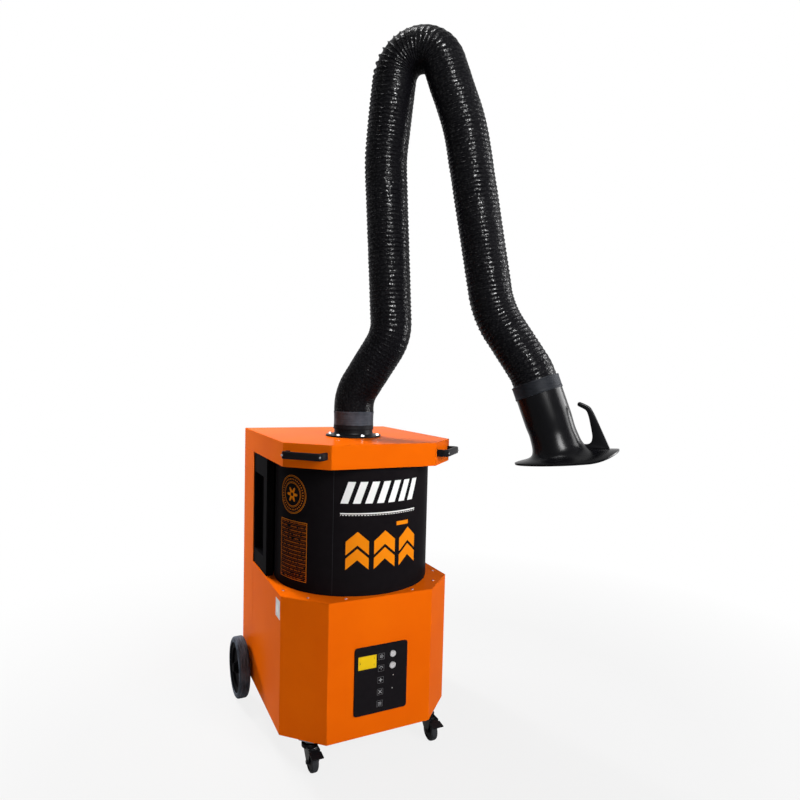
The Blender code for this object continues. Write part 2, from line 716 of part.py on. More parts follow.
def build_fan():
    inset = SHEET + GAP
    shelf = layer("fan_shelf", [cabinet_outline(inset, COLUMN_FRONT)], SHELF_TOP - SHELF_THICKNESS,
                  SHELF_TOP, frame, "zinc")
    cut(shelf, rod("shelf_hole", SHAFT_HOLE_RADIUS, 2 * OVERRUN, (0, DRUM_Y, SHELF_TOP), frame))

    # The scroll grows steadily round the impeller to an outlet that faces back.
    sweep = tau - SCROLL_TONGUE_ANGLE
    scroll = []
    for k in range(SCROLL_POINTS):
        share = k / (SCROLL_POINTS - 1)
        radius = SCROLL_TONGUE_RADIUS + SCROLL_GROWTH * share
        angle = SCROLL_TONGUE_ANGLE + sweep * share
        scroll.append((radius * cos(angle), DRUM_Y + radius * sin(angle)))
    outlet_y = BACK - HOUSING_OUTLET_GAP
    scroll.append((scroll[-1][0], outlet_y))
    scroll.append((scroll[0][0], outlet_y))
    housing = layer("fan_housing", [scroll], HOUSING_BOTTOM, HOUSING_BOTTOM + HOUSING_HEIGHT,
                    frame, "zinc")
    open_towards(housing, (0, 1, 0))
    thicken(housing, HOUSING_SHEET)
    cut(housing, rod("housing_inlet", FAN_INLET_RADIUS, 2 * OVERRUN,
                     (0, DRUM_Y, HOUSING_BOTTOM + HOUSING_HEIGHT), frame))
    cut(housing, rod("housing_shaft_hole", SHAFT_HOLE_RADIUS, 2 * OVERRUN,
                     (0, DRUM_Y, HOUSING_BOTTOM), frame))

    motor_top = SHELF_TOP - SHELF_THICKNESS - GAP
    motor_end = motor_top - MOTOR_LENGTH
    bell_top = motor_end + MOTOR_BELL_LENGTH
    bore = SHAFT_RADIUS + GAP
    bore_end = motor_top - SHAFT_SINK - GAP
    flange = motor_top - MOTOR_FLANGE
    profile = [(0, bore_end), (bore, bore_end), (bore, motor_top),
               (MOTOR_FLANGE_RADIUS, motor_top), (MOTOR_FLANGE_RADIUS, flange),
               (MOTOR_RADIUS, flange), (MOTOR_RADIUS, bell_top), (MOTOR_BELL_RADIUS, motor_end),
               (0, motor_end)]
    turned("fan_motor", profile, (0, DRUM_Y, 0), frame, "cast_aluminium")

    # The rotor turns on the shaft, so its parent stands on the fan's axis.
    spin = empty("fan_axis", (0, DRUM_Y, HOUSING_BOTTOM), frame)
    plate_top = IMPELLER_RISE + IMPELLER_PLATE
    hub_top = plate_top + HUB_HEIGHT
    profile = [(bore, hub_top), (HUB_RADIUS, hub_top), (HUB_RADIUS, plate_top),
               (IMPELLER_RADIUS, plate_top), (IMPELLER_RADIUS, IMPELLER_RISE),
               (bore, IMPELLER_RISE)]
    impeller = turned("fan_impeller", profile, (0, 0, 0), spin, "zinc")
    body = bmesh.new()
    size = Matrix.Diagonal((BLADE_LENGTH, BLADE_THICKNESS, BLADE_HEIGHT, 1.0))
    outer = IMPELLER_RADIUS - BLADE_LENGTH / 2
    for k in range(BLADE_COUNT):
        around = Matrix.Rotation(tau * k / BLADE_COUNT, 4, "Z")
        out = Matrix.Translation((outer, 0, plate_top + BLADE_HEIGHT / 2 - IMPELLER_PLATE / 2))
        lean = Matrix.Rotation(BLADE_LEAN, 4, "Z")
        bmesh.ops.create_cube(body, size=1.0, matrix=around @ out @ lean @ size)
    join(impeller, add_mesh("blades", new_mesh("blades", body), (0, 0, 0), spin, None))
    shaft_bottom = motor_top - SHAFT_SINK - HOUSING_BOTTOM
    shaft_length = hub_top - shaft_bottom
    rod("fan_shaft", SHAFT_RADIUS, shaft_length, (0, 0, shaft_bottom + shaft_length / 2), spin,
        "steel", sides=RING_STEPS)


# Controls


def build_controls():
    half_width = PANEL_WIDTH / 2 - PANEL_CORNER
    half_height = PANEL_HEIGHT / 2 - PANEL_CORNER
    outline = []
    for k, (x, y) in enumerate(((1, 1), (-1, 1), (-1, -1), (1, -1))):
        outline += arc(x * half_width, y * half_height, PANEL_CORNER, k * pi / 2,
                       (k + 1) * pi / 2)
    face = PANEL_FACE + PANEL_THICKNESS / 2
    panel = prism("control_panel", [outline], PANEL_THICKNESS, (0, face, PANEL_Z), frame,
                  "black_plastic", turn=ALONG_Y)
    box_size = (PANEL_WIDTH - 2 * CONTROL_BOX_MARGIN, CONTROL_BOX_DEPTH,
                PANEL_HEIGHT - 2 * CONTROL_BOX_MARGIN)
    control_box = box("control_box", box_size,
                      (0, FRONT + SHEET + GAP + CONTROL_BOX_DEPTH / 2, PANEL_Z), frame, "zinc")
    open_towards(control_box, (0, -1, 0))
    thicken(control_box, HOUSING_SHEET)
    edge = BUTTON_RADIUS - BUTTON_ROUNDING
    profile = [(0, BUTTON_PROUD), (edge, BUTTON_PROUD),
               (BUTTON_RADIUS, BUTTON_PROUD - BUTTON_ROUNDING),
               (BUTTON_RADIUS, BUTTON_PROUD - BUTTON_DEPTH),
               (BUTTON_STEM_RADIUS, BUTTON_PROUD - BUTTON_DEPTH),
               (BUTTON_STEM_RADIUS, BUTTON_PROUD - BUTTON_DEPTH - BUTTON_STEM_LENGTH),
               (0, BUTTON_PROUD - BUTTON_DEPTH - BUTTON_STEM_LENGTH)]
    top = PANEL_Z + PANEL_HEIGHT / 2 - START_BUTTON_DROP
    for k, name in enumerate(("button_start", "button_stop")):
        place = (BUTTON_SIDE, PANEL_FACE, top - BUTTON_SPACING * k)
        cut(panel, rod(name + "_hole", BUTTON_RADIUS + BUTTON_CLEARANCE, 2 * OVERRUN, place,
                       frame, turn=ALONG_Y, sides=BUTTON_STEPS))
        turned(name, profile, place, frame, "white_plastic", turn=ALONG_Y, steps=BUTTON_STEPS)


# Wheels


def build_rear_wheels():
    half = WHEEL_WIDTH / 2
    seat = WHEEL_RADIUS - TYRE_DEPTH
    tyre = [(seat, half), (WHEEL_RADIUS - TYRE_ROUNDING, half), (WHEEL_RADIUS, half - TYRE_ROUNDING),
            (WHEEL_RADIUS, TYRE_ROUNDING - half), (WHEEL_RADIUS - TYRE_ROUNDING, -half),
            (seat, -half)]
    rim = seat - GAP
    lip = rim - HUB_RIM
    bore = AXLE_RADIUS + AXLE_CLEARANCE
    web = HUB_WEB / 2
    boss = HUB_BOSS_WIDTH / 2
    edge = half - HUB_RIM / 2
    hub = [(bore, boss), (HUB_BOSS_RADIUS, boss), (HUB_BOSS_RADIUS, web), (lip, web), (rim, edge),
           (rim, -edge), (lip, -web), (HUB_BOSS_RADIUS, -web), (HUB_BOSS_RADIUS, -boss),
           (bore, -boss)]
    end = WHEEL_X + boss + AXLE_PROUD
    spacer_out = WHEEL_X - boss - GAP
    spacer_in = HALF_WIDTH + GAP
    half_axle = [(AXLE_RADIUS, end), (AXLE_RADIUS, spacer_out), (SPACER_RADIUS, spacer_out),
                 (SPACER_RADIUS, spacer_in), (AXLE_RADIUS, spacer_in)]
    axle = [(0, end)] + half_axle + [(r, -z) for r, z in reversed(half_axle)] + [(0, -end)]
    turned("rear_axle", axle, (0, AXLE_Y, WHEEL_RADIUS), frame, "steel", turn=ALONG_X,
           steps=SMALL_STEPS)
    start = GAP - AXLE_PROUD
    cap_top = start + HUB_CAP_LENGTH
    cap = [(0, cap_top), (HUB_CAP_RADIUS - HUB_CAP_CHAMFER, cap_top),
           (HUB_CAP_RADIUS, cap_top - HUB_CAP_CHAMFER), (HUB_CAP_RADIUS, start), (bore, start),
           (bore, GAP), (0, GAP)]
    for side, hand in (("left", -1), ("right", 1)):
        place = (hand * WHEEL_X, AXLE_Y, WHEEL_RADIUS)
        turned("rear_tyre_" + side, tyre, place, frame, "tyre_rubber", turn=ALONG_X,
               steps=RING_STEPS)
        turned("rear_hub_" + side, hub, place, frame, "black_plastic", turn=ALONG_X,
               steps=RING_STEPS)
        turned("hub_cap_" + side, cap, (hand * end, AXLE_Y, WHEEL_RADIUS), frame, "black_plastic",
               turn=(0, hand * pi / 2, 0), steps=SMALL_STEPS)


def build_caster(side, hand):
    # Heights here are above the floor; the wheel trails towards the front.
    swivel = empty("caster_%s_swivel" % side, (hand * CASTER_SIDE, CASTER_Y, 0), frame)
    plate_top = FLOOR_CLEARANCE - GAP
    plate_bottom = plate_top - CASTER_PLATE_THICKNESS
    crown_top = FLOOR_CLEARANCE - CROWN_DROP
    crown_bottom = crown_top - CROWN_THICKNESS
    plate = box("caster_plate_" + side, (CASTER_PLATE, CASTER_PLATE, CASTER_PLATE_THICKNESS),
                (hand * CASTER_SIDE, CASTER_Y, (plate_top + plate_bottom) / 2), frame, "zinc",
                turn=(0, 0, pi / 4))
    head_top = crown_bottom - GAP
    sunk = plate_bottom + CASTER_PLATE_THICKNESS / 2
    king = [(0, sunk), (RACE_RADIUS, sunk), (RACE_RADIUS, crown_top + GAP),
            (KING_PIN_RADIUS, crown_top + GAP), (KING_PIN_RADIUS, head_top),
            (KING_HEAD_RADIUS, head_top), (KING_HEAD_RADIUS, head_top - KING_HEAD),
            (0, head_top - KING_HEAD)]
    join(plate, turned("king_pin_" + side, king, (hand * CASTER_SIDE, CASTER_Y, 0), frame,
                       steps=SMALL_STEPS))

    crown = ring_profile(CROWN_RADIUS, KING_PIN_RADIUS + GAP, crown_bottom, crown_top)
    fork = turned("caster_fork_" + side, crown, (0, 0, 0), swivel, "black_paint",
                  steps=SMALL_STEPS)
    cheek_top = crown_top - CROWN_THICKNESS / 2
    foot = arc(-CASTER_TRAIL, CASTER_RADIUS, CHEEK_FOOT_RADIUS, pi * 5 / 4, pi * 15 / 8)
    pedal_y = -CASTER_TRAIL - PEDAL_PIVOT_AHEAD
    pedal_z = CASTER_RADIUS + PEDAL_PIVOT_RISE
    ear = 2 * PEDAL_PIN_RADIUS
    cheek = [(CHEEK_TOP_REAR, cheek_top), (-CHEEK_TOP_FRONT, cheek_top),
             (pedal_y - ear, pedal_z + ear), (pedal_y - ear, pedal_z - ear)] + foot
    cheek_x = CASTER_WIDTH / 2 + CASTER_CHEEK_CLEARANCE + CASTER_CHEEK / 2
    bolt_reach = cheek_x + CASTER_CHEEK / 2 + GAP
    turn_up = (pi / 2, 0, pi / 2)
    for face in (-1, 1):
        join(fork, prism("cheek_%s_%d" % (side, face), [cheek], CASTER_CHEEK,
                         (face * cheek_x, 0, 0), swivel, turn=turn_up))
    hub_place = (0, -CASTER_TRAIL, CASTER_RADIUS)
    cut(fork, rod("bolt_hole_" + side, CASTER_BOLT_RADIUS + GAP, 2 * bolt_reach, hub_place,
                  swivel, turn=ALONG_X, sides=SMALL_STEPS))
    pivot = (0, pedal_y, pedal_z)
    cut(fork, rod("pedal_hole_" + side, PEDAL_PIN_RADIUS + GAP, 2 * bolt_reach, pivot, swivel,
                  turn=ALONG_X, sides=SMALL_STEPS))

    half = CASTER_WIDTH / 2
    side_radius = CASTER_RADIUS - CASTER_TREAD_ROUNDING
    bore = CASTER_BOLT_RADIUS + GAP
    tread = [(bore, half), (side_radius, half), (CASTER_RADIUS, half - CASTER_TREAD_ROUNDING),
             (CASTER_RADIUS, CASTER_TREAD_ROUNDING - half), (side_radius, -half), (bore, -half)]
    turned("caster_wheel_" + side, tread, hub_place, swivel, "black_plastic", turn=ALONG_X,
           steps=RING_STEPS)
    bolt_end = bolt_reach + CASTER_BOLT_HEAD
    bolt = [(0, bolt_end), (CASTER_BOLT_HEAD_RADIUS, bolt_end),
            (CASTER_BOLT_HEAD_RADIUS, bolt_reach), (CASTER_BOLT_RADIUS, bolt_reach),
            (CASTER_BOLT_RADIUS, -bolt_reach), (CASTER_BOLT_HEAD_RADIUS, -bolt_reach),
            (CASTER_BOLT_HEAD_RADIUS, -bolt_end), (0, -bolt_end)]
    turned("caster_bolt_" + side, bolt, hub_place, swivel, "steel", turn=ALONG_X,
           steps=SMALL_STEPS)

    # The pedal hangs on its pin between the cheeks, its tread beyond them.
    pedal_axis = empty("caster_%s_pedal_axis" % side, pivot, swivel)
    thick = PEDAL_THICKNESS / 2
    tread_start = TREAD_LENGTH - PEDAL_REACH
    lever = [(thick, -thick), (thick, thick), (tread_start, thick),
             (-PEDAL_REACH, thick - PEDAL_DROP), (-PEDAL_REACH, -thick - PEDAL_DROP),
             (tread_start, -thick)]
    pedal = prism("brake_pedal_" + side, [lever], PEDAL_WIDTH, (0, 0, 0), pedal_axis,
                  "black_plastic", turn=turn_up)
    join(pedal, prism("tread_" + side, [lever[2:]], TREAD_WIDTH, (0, 0, 0), pedal_axis,
                      turn=turn_up))
    join(pedal, rod("pedal_pin_" + side, PEDAL_PIN_RADIUS, 2 * (bolt_reach - GAP), (0, 0, 0),
                    pedal_axis, turn=ALONG_X, sides=SMALL_STEPS))


# Hose route


def route_runs():
    # Each run is its length and its turn, to the right where it is positive.
    runs = [(BASE_RISE, 0.0)]
    turns = ((BASE_LEAN, BASE_LEAN_RADIUS, BASE_SLOPE),
             (-BASE_RETURN, BASE_RETURN_RADIUS, LOWER_STRAIGHT),
             (LOWER_SWAY, LOWER_SWAY_RADIUS, LOWER_TOP_STRAIGHT),
             (ELBOW_TURN, ELBOW_RADIUS, UPPER_TOP_STRAIGHT),
             (UPPER_SWAY, UPPER_SWAY_RADIUS, UPPER_STRAIGHT),
             (-HOOD_LEAN, HOOD_LEAN_RADIUS, HOOD_SLOPE),
             (HOOD_RETURN, HOOD_RETURN_RADIUS, HOOD_RUN))
    for angle, radius, straight in turns:
        runs.append((abs(angle) * radius, angle))
        runs.append((straight, 0.0))
    return runs


RUNS = route_runs()
LOWER_RUN, ELBOW_RUN, HOOD_BEND_RUN = 4, 7, 11


def run_start(index):
    return sum(length for length, turn in RUNS[:index])


ROUTE_LENGTH = run_start(len(RUNS))
BASE_BEND_END = run_start(LOWER_RUN) + BEND_MARGIN
ELBOW_START = run_start(ELBOW_RUN) - BEND_MARGIN
ELBOW_END = run_start(ELBOW_RUN + 1) + BEND_MARGIN
HOOD_BEND_START = run_start(HOOD_BEND_RUN) - BEND_MARGIN


def route(distance):
    # Gives the place along the arm, the height and the heading from straight
    # up. Beyond either end the route goes straight on.
    along, height, heading = 0.0, COLLAR_TOP + GAP, 0.0
    left = distance
    for k, (length, turn) in enumerate(RUNS):
        last = k == len(RUNS) - 1
        step = left if last or left < length else length
        if turn == 0.0:
            along += step * sin(heading)
            height += step * cos(heading)
        else:
            radius = length / turn
            bent = heading + step / radius
            along += radius * (cos(heading) - cos(bent))
            height += radius * (sin(bent) - sin(heading))
            heading = bent
        left -= step
        if left <= 0:
            break
    return along, height, heading


def route_point(distance):
    along, height, heading = route(distance)
    return Vector((along, 0.0, height))


SHOULDER = route_point(SHOULDER_STATION)
ELBOW = route_point((ELBOW_START + ELBOW_END) / 2)
HOOD_PIVOT = route_point(ROUTE_LENGTH - HOOD_PIVOT_ABOVE_CUFF)
HOOD_CUFF_TOP = route_point(ROUTE_LENGTH + GAP)
HOOD_TOP = route_point(ROUTE_LENGTH + 2 * GAP + HOOD_CUFF_LENGTH)
HOOD_TILT = pi - route(ROUTE_LENGTH)[2]


# Arm


def build_flange():
    bottom = LID_TOP + GAP
    top = bottom + FLANGE_THICKNESS
    neck_top = bottom + NECK_HEIGHT
    profile = [(NECK_BORE, neck_top), (NECK_RADIUS, neck_top), (NECK_RADIUS, top + NECK_FILLET),
               (NECK_RADIUS + NECK_FILLET, top), (FLANGE_RADIUS, top), (FLANGE_RADIUS, bottom),
               (NECK_RADIUS, bottom), (NECK_RADIUS, neck_top - NECK_DEPTH - NECK_HEIGHT),
               (NECK_BORE, neck_top - NECK_DEPTH - NECK_HEIGHT)]
    flange = turned("lid_flange", profile, (0, DRUM_Y, 0), frame, "black_paint")
    height = FLANGE_BOLT_HEIGHT + FLANGE_THICKNESS / 2
    for k in range(FLANGE_BOLT_COUNT):
        angle = tau * (k + 1 / 2) / FLANGE_BOLT_COUNT
        place = (FLANGE_BOLT_CIRCLE * cos(angle), DRUM_Y + FLANGE_BOLT_CIRCLE * sin(angle),
                 top + FLANGE_BOLT_HEIGHT - height / 2)
        join(flange, rod("flange_bolt_%d" % k, FLANGE_BOLT_RADIUS, height, place, frame,
                         sides=BOLT_SIDES))


def build_collar(turn_axis):
    spigot_radius = NECK_BORE - SWIVEL_CLEARANCE
    spigot_bore = spigot_radius - SPIGOT_WALL
    spigot_end = COLLAR_BOTTOM - SPIGOT_LENGTH
    profile = [(spigot_bore, COLLAR_TOP), (COLLAR_RADIUS, COLLAR_TOP),
               (COLLAR_RADIUS, COLLAR_BOTTOM), (spigot_radius, COLLAR_BOTTOM),
               (spigot_radius, spigot_end), (spigot_bore, spigot_end)]
    turned("swivel_collar", profile, (0, 0, 0), turn_axis, "black_plastic")
    cuff = ring_profile(COLLAR_RADIUS + GAP + CUFF_WALL, COLLAR_RADIUS + GAP, COLLAR_BOTTOM,
                        COLLAR_TOP)
    turned("lower_cuff", cuff, (0, 0, 0), turn_axis, "grey_rubber")
    return spigot_bore


def link(name, points, parent, origin, finish):
    # A bar through the points, given in the arm's plane.
    places = [point - origin for point in points]
    return tube(name, places, LINK_RADIUS, [1.0] * len(places), TUBE_RESOLUTION, (0, 0, 0),
                parent, finish)


def add_eye(bar, point, parent, origin):
    place = point - origin
    join(bar, rod(bar.name + "_eye", EYE_RADIUS, EYE_WIDTH, place, parent, turn=ALONG_Y,
                  sides=SMALL_STEPS))
    cut(bar, rod(bar.name + "_eye_bore", PIN_RADIUS + GAP, FORK_WIDTH, place, parent,
                 turn=ALONG_Y, sides=SMALL_STEPS))


def add_fork(bar, point, towards, parent, origin):
    # Two ears round the pivot, on a block that lies along the bar.
    place = point - origin
    way = (towards - point).normalized()
    join(bar, rod(bar.name + "_ears", FORK_RADIUS, FORK_WIDTH, place, parent, turn=ALONG_Y,
                  sides=SMALL_STEPS))
    block = (FORK_LENGTH, FORK_WIDTH - GAP, 2 * FORK_RADIUS - GAP)
    join(bar, box(bar.name + "_block", block, place + way * (FORK_LENGTH / 2), parent,
                  turn=(0, atan2(-way.z, way.x), 0)))
    slot = EYE_WIDTH + 2 * GAP
    cut(bar, rod(bar.name + "_slot", EYE_RADIUS + FORK_CLEARANCE, slot, place, parent,
                 turn=ALONG_Y, sides=RING_STEPS))
    cut(bar, rod(bar.name + "_fork_bore", PIN_RADIUS + GAP, FORK_WIDTH + 2 * OVERRUN, place,
                 parent, turn=ALONG_Y, sides=SMALL_STEPS))


def add_pin(name, parent, place):
    reach = FORK_WIDTH / 2 + GAP
    end = reach + PIN_HEAD
    profile = [(0, end), (PIN_HEAD_RADIUS, end), (PIN_HEAD_RADIUS, reach), (PIN_RADIUS, reach),
               (PIN_RADIUS, -reach), (PIN_HEAD_RADIUS, -reach), (PIN_HEAD_RADIUS, -end), (0, -end)]
    turned(name, profile, place, parent, "steel", turn=ALONG_Y, steps=SMALL_STEPS)


def hose(name, start, end, bore_ribs, parent, origin):
    # Ribs at an even pitch: each is a root and a crest. The bore is cut out,
    # with a point every few ribs.
    ribs = round((end - start) / RIB_PITCH)
    step = (end - start) / (2 * ribs)
    root_share = HOSE_ROOT / HOSE_RADIUS
    places = []
    shares = []
    for k in range(2 * ribs + 1):
        places.append(route_point(start + step * k) - origin)
        shares.append(1.0 if k % 2 else root_share)
    skin = tube(name, places, HOSE_RADIUS, shares, TUBE_RESOLUTION, (0, 0, 0), parent,
                "hose_fabric")
    stations = [start + step * k for k in range(0, 2 * ribs + 1, 2 * bore_ribs)]
    if stations[-1] < end - step:
        stations.append(end)
    core = [route_point(station) - origin for station in stations]
    for index, inner in ((0, 1), (-1, -2)):
        out = (core[index] - core[inner]).normalized()
        core[index] = core[index] + out * OVERRUN
    cut(skin, tube(name + "_bore", core, HOSE_BORE, [1.0] * len(core), TUBE_RESOLUTION,
                   (0, 0, 0), parent))


def build_arm():
    turn_axis = empty("arm_turn_axis", (0, DRUM_Y, 0), frame, turn=(0, 0, ARM_HEADING))
    spigot_bore = build_collar(turn_axis)
    shoulder = empty("shoulder_axis", SHOULDER, turn_axis)
    elbow = empty("elbow_axis", ELBOW - SHOULDER, shoulder)
    hood_tilt = empty("hood_tilt_axis", HOOD_PIVOT - ELBOW, elbow)

    foot = Vector((0, 0, COLLAR_TOP - POST_SINK))
    ground = Vector((0, 0, 0))
    knee = route_point(SHOULDER_STATION / 3)
    post = link("shoulder_post", [foot, route_point(0), knee, SHOULDER], turn_axis, ground,
                "steel")
    strut_half = sqrt(spigot_bore * spigot_bore - LINK_RADIUS * LINK_RADIUS) - SWIVEL_CLEARANCE
    join(post, rod("post_strut", LINK_RADIUS - GAP, 2 * strut_half, foot, turn_axis,
                   turn=ALONG_Y, sides=SMALL_STEPS))
    add_fork(post, SHOULDER, knee, turn_axis, ground)
    add_pin("shoulder_pin", turn_axis, SHOULDER)
    hose("hose_base_bend", 0.0, BASE_BEND_END, BEND_BORE_RIBS, turn_axis, ground)

    top = route_point(LOWER_LINK_STATION)
    lower = link("lower_link", [SHOULDER, top, ELBOW], shoulder, SHOULDER, "steel")
    add_eye(lower, SHOULDER, shoulder, SHOULDER)
    add_fork(lower, ELBOW, top, shoulder, SHOULDER)
    add_pin("elbow_pin", shoulder, ELBOW - SHOULDER)
    hose("hose_lower_run", BASE_BEND_END + GAP, ELBOW_START - GAP, RUN_BORE_RIBS, shoulder,
         SHOULDER)
    hose("hose_elbow_bend", ELBOW_START, ELBOW_END, ELBOW_BORE_RIBS, shoulder, SHOULDER)

    start = route_point(UPPER_LINK_STATION)
    knee = route_point(UPPER_KNEE_STATION)
    upper = link("upper_link", [ELBOW, start, knee, HOOD_PIVOT], elbow, ELBOW, "steel")
    add_eye(upper, ELBOW, elbow, ELBOW)
    add_fork(upper, HOOD_PIVOT, knee, elbow, ELBOW)
    add_pin("hood_pin", elbow, HOOD_PIVOT - ELBOW)
    hose("hose_upper_run", ELBOW_END + GAP, HOOD_BEND_START - GAP, RUN_BORE_RIBS, elbow, ELBOW)
    hose("hose_hood_bend", HOOD_BEND_START, ROUTE_LENGTH, BEND_BORE_RIBS, elbow, ELBOW)
    return hood_tilt


# Hood: in its own frame the duct runs down -Z and the hook stands on +X


def round_section(drop, radius, shift=0.0, slope=0.0):
    step = tau / HOOD_SIDES
    points = []
    for k in range(HOOD_SIDES):
        reach = radius * cos(step * k)
        points.append((shift + reach * cos(slope), radius * sin(step * k),
                       reach * sin(slope) - drop))
    return points


def rim_section(inset, below):
    # The rim is an egg, wide and lifted at its front, tilted against the duct.
    step = tau / HOOD_SIDES
    points = []
    for k in range(HOOD_SIDES):
        forward = cos(step * k)
        reach = (RIM_LENGTH / 2 - inset) * forward
        width = (RIM_WIDTH / 2 - inset) * sin(step * k) * (1 + RIM_SWELL * forward)
        rise = max(0.0, (forward - RIM_LIFT_START) / (1 - RIM_LIFT_START))
        lift = RIM_LIFT * rise * rise - below
        x = RIM_SHIFT + reach * cos(RIM_SLOPE) - lift * sin(RIM_SLOPE)
        z = -RIM_DROP + reach * sin(RIM_SLOPE) + lift * cos(RIM_SLOPE)
        points.append((x, width, z))
    return points


def loft(name, sections, parent, finish):
    # Joins each section to the next, and the last to the first.
    verts = [point for section in sections for point in section]
    faces = []
    count = len(sections)
    for ring in range(count):
        following = (ring + 1) % count
        for k in range(HOOD_SIDES):
            right = (k + 1) % HOOD_SIDES
            faces.append((ring * HOOD_SIDES + k, ring * HOOD_SIDES + right,
                          following * HOOD_SIDES + right, following * HOOD_SIDES + k))
    mesh = bpy.data.meshes.new(name)
    mesh.from_pydata(verts, [], faces)
    body = bmesh.new()
    body.from_mesh(mesh)
    bmesh.ops.recalc_face_normals(body, faces=body.faces)
    body.to_mesh(mesh)
    body.free()
    return add_mesh(name, mesh, (0, 0, 0), parent, finish)


def hook_outline():
    # Shares of the rim's reach and of its drop, up one side and down the other.
    hook_shares = ((0.856, -1.015), (0.809, -0.426), (0.617, -0.283), (0.569, -0.328),
                   (0.713, -0.446), (0.638, -0.803), (0.585, -0.864), (0.553, -0.888),
                   (0.521, -0.890), (0.513, -0.910), (0.527, -0.929))
    reach = RIM_SHIFT + RIM_LENGTH / 2
    return [(reach * along, RIM_DROP * up) for along, up in hook_shares]


def build_hood(hood_tilt):
    cuff_axis = empty("hood_cuff_frame", HOOD_CUFF_TOP - HOOD_PIVOT, hood_tilt,
                      turn=(0, -HOOD_TILT, 0))
    cuff = ring_profile(HOOD_CUFF_RADIUS, KNUCKLE_RADIUS + GAP, -HOOD_CUFF_LENGTH, 0)
    turned("hood_cuff", cuff, (0, 0, 0), cuff_axis, "grey_rubber")
    low = -HOOD_CUFF_LENGTH - KNUCKLE_SPIGOT
    ring = ring_profile(KNUCKLE_RADIUS, KNUCKLE_RADIUS - KNUCKLE_WALL, low, 0)
    knuckle = turned("hood_knuckle", ring, (0, 0, 0), cuff_axis, "cast_aluminium")
    strut_z = -HOOD_CUFF_LENGTH / 2
    join(knuckle, rod("knuckle_strut", LINK_RADIUS - GAP, 2 * KNUCKLE_RADIUS - KNUCKLE_WALL,
                      (0, 0, strut_z), cuff_axis, turn=ALONG_Y, sides=SMALL_STEPS))
    # The eye stands on the hood's pivot, seen from the cuff's frame.
    lean = Matrix.Rotation(HOOD_TILT, 4, "Y")
    pivot = lean @ (HOOD_PIVOT - HOOD_CUFF_TOP)
    stem = tube("knuckle_stem", [Vector((0, 0, strut_z)), pivot], LINK_RADIUS, [1.0, 1.0],
                TUBE_RESOLUTION, (0, 0, 0), cuff_axis)
    join(knuckle, stem)
    add_eye(knuckle, pivot, cuff_axis, Vector((0, 0, 0)))

    axis = empty("hood_turn_axis", HOOD_TOP - HOOD_PIVOT, hood_tilt, turn=(0, -HOOD_TILT, 0))
    seat = KNUCKLE_RADIUS + SWIVEL_CLEARANCE
    sections = [round_section(0, HOOD_RADIUS),
                round_section(HOOD_NECK_DROP, HOOD_RADIUS),
                round_section(HOOD_THROAT_DROP, HOOD_THROAT_RADIUS, 0.0, HOOD_THROAT_SLOPE),
                round_section(HOOD_FLARE_DROP, HOOD_FLARE_RADIUS, HOOD_FLARE_SHIFT,
                              HOOD_FLARE_SLOPE),
                rim_section(0, 0),
                rim_section(0, RIM_LIP),
                rim_section(RIM_EDGE, RIM_LIP),
                rim_section(2 * RIM_EDGE, HOOD_WALL),
                round_section(HOOD_FLARE_DROP + HOOD_WALL, HOOD_FLARE_RADIUS - HOOD_WALL,
                              HOOD_FLARE_SHIFT, HOOD_FLARE_SLOPE),
                round_section(HOOD_THROAT_DROP, HOOD_THROAT_RADIUS - HOOD_WALL, 0.0,
                              HOOD_THROAT_SLOPE),
                round_section(HOOD_NECK_DROP, HOOD_RADIUS - HOOD_WALL),
                round_section(HOOD_SEAT, HOOD_RADIUS - HOOD_WALL),
                round_section(HOOD_SEAT, seat),
                round_section(0, seat)]
    hood = loft("extraction_hood", sections, axis, "black_plastic")
    join(hood, prism("hook", [hook_outline()], HOOK_THICKNESS, (0, 0, 0), axis, turn=ALONG_Y))
    spindle = (0, 0, -DAMPER_DROP)
    reach = HOOD_RADIUS + DAMPER_LEVER_GAP + DAMPER_LEVER_THICKNESS
    cut(hood, rod("spindle_holes", SPINDLE_RADIUS + SPINDLE_CLEARANCE, 2 * reach, spindle, axis,
                  turn=ALONG_Y, sides=SMALL_STEPS))

    damper_axis = empty("damper_axis", spindle, axis)
    damper = rod("hood_damper", DAMPER_RADIUS, DAMPER_THICKNESS, (0, 0, 0), damper_axis, "zinc",
                 turn=ALONG_X, sides=RING_STEPS)
    near = HOOD_RADIUS + GAP
    join(damper, rod("spindle", SPINDLE_RADIUS, near + reach, (0, (reach - near) / 2, 0),
                     damper_axis, turn=ALONG_Y, sides=SMALL_STEPS))
    size = (DAMPER_LEVER_WIDTH, DAMPER_LEVER_THICKNESS, DAMPER_LEVER_LENGTH)
    join(damper, box("damper_lever", size,
                     (0, reach - DAMPER_LEVER_THICKNESS / 2 + GAP,
                      DAMPER_LEVER_LENGTH / 2 - DAMPER_LEVER_WIDTH / 2), damper_axis))


def settle_origin():
    # Moves the whole object so its origin is below the middle of its bounds.
    bpy.context.view_layer.update()
    depsgraph = bpy.context.evaluated_depsgraph_get()
    corners = []
    for thing in part.objects:
        if thing.type == "MESH":
            solid = thing.evaluated_get(depsgraph)
            corners += [solid.matrix_world @ vert.co for vert in solid.data.vertices]
    low = [min(corner[axis] for corner in corners) for axis in range(3)]
    high = [max(corner[axis] for corner in corners) for axis in range(3)]
    frame.location = (-(low[0] + high[0]) / 2, -(low[1] + high[1]) / 2, -low[2])


build_base()
build_column()
build_lid()
build_filter()
build_fan()
build_controls()
build_rear_wheels()
build_caster("left", -1)
build_caster("right", 1)
build_flange()
build_hood(build_arm())
settle_origin()
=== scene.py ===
import json
import math

import bmesh
import bpy
import numpy as np
from mathutils import Matrix, Vector
from mathutils.geometry import tessellate_polygon


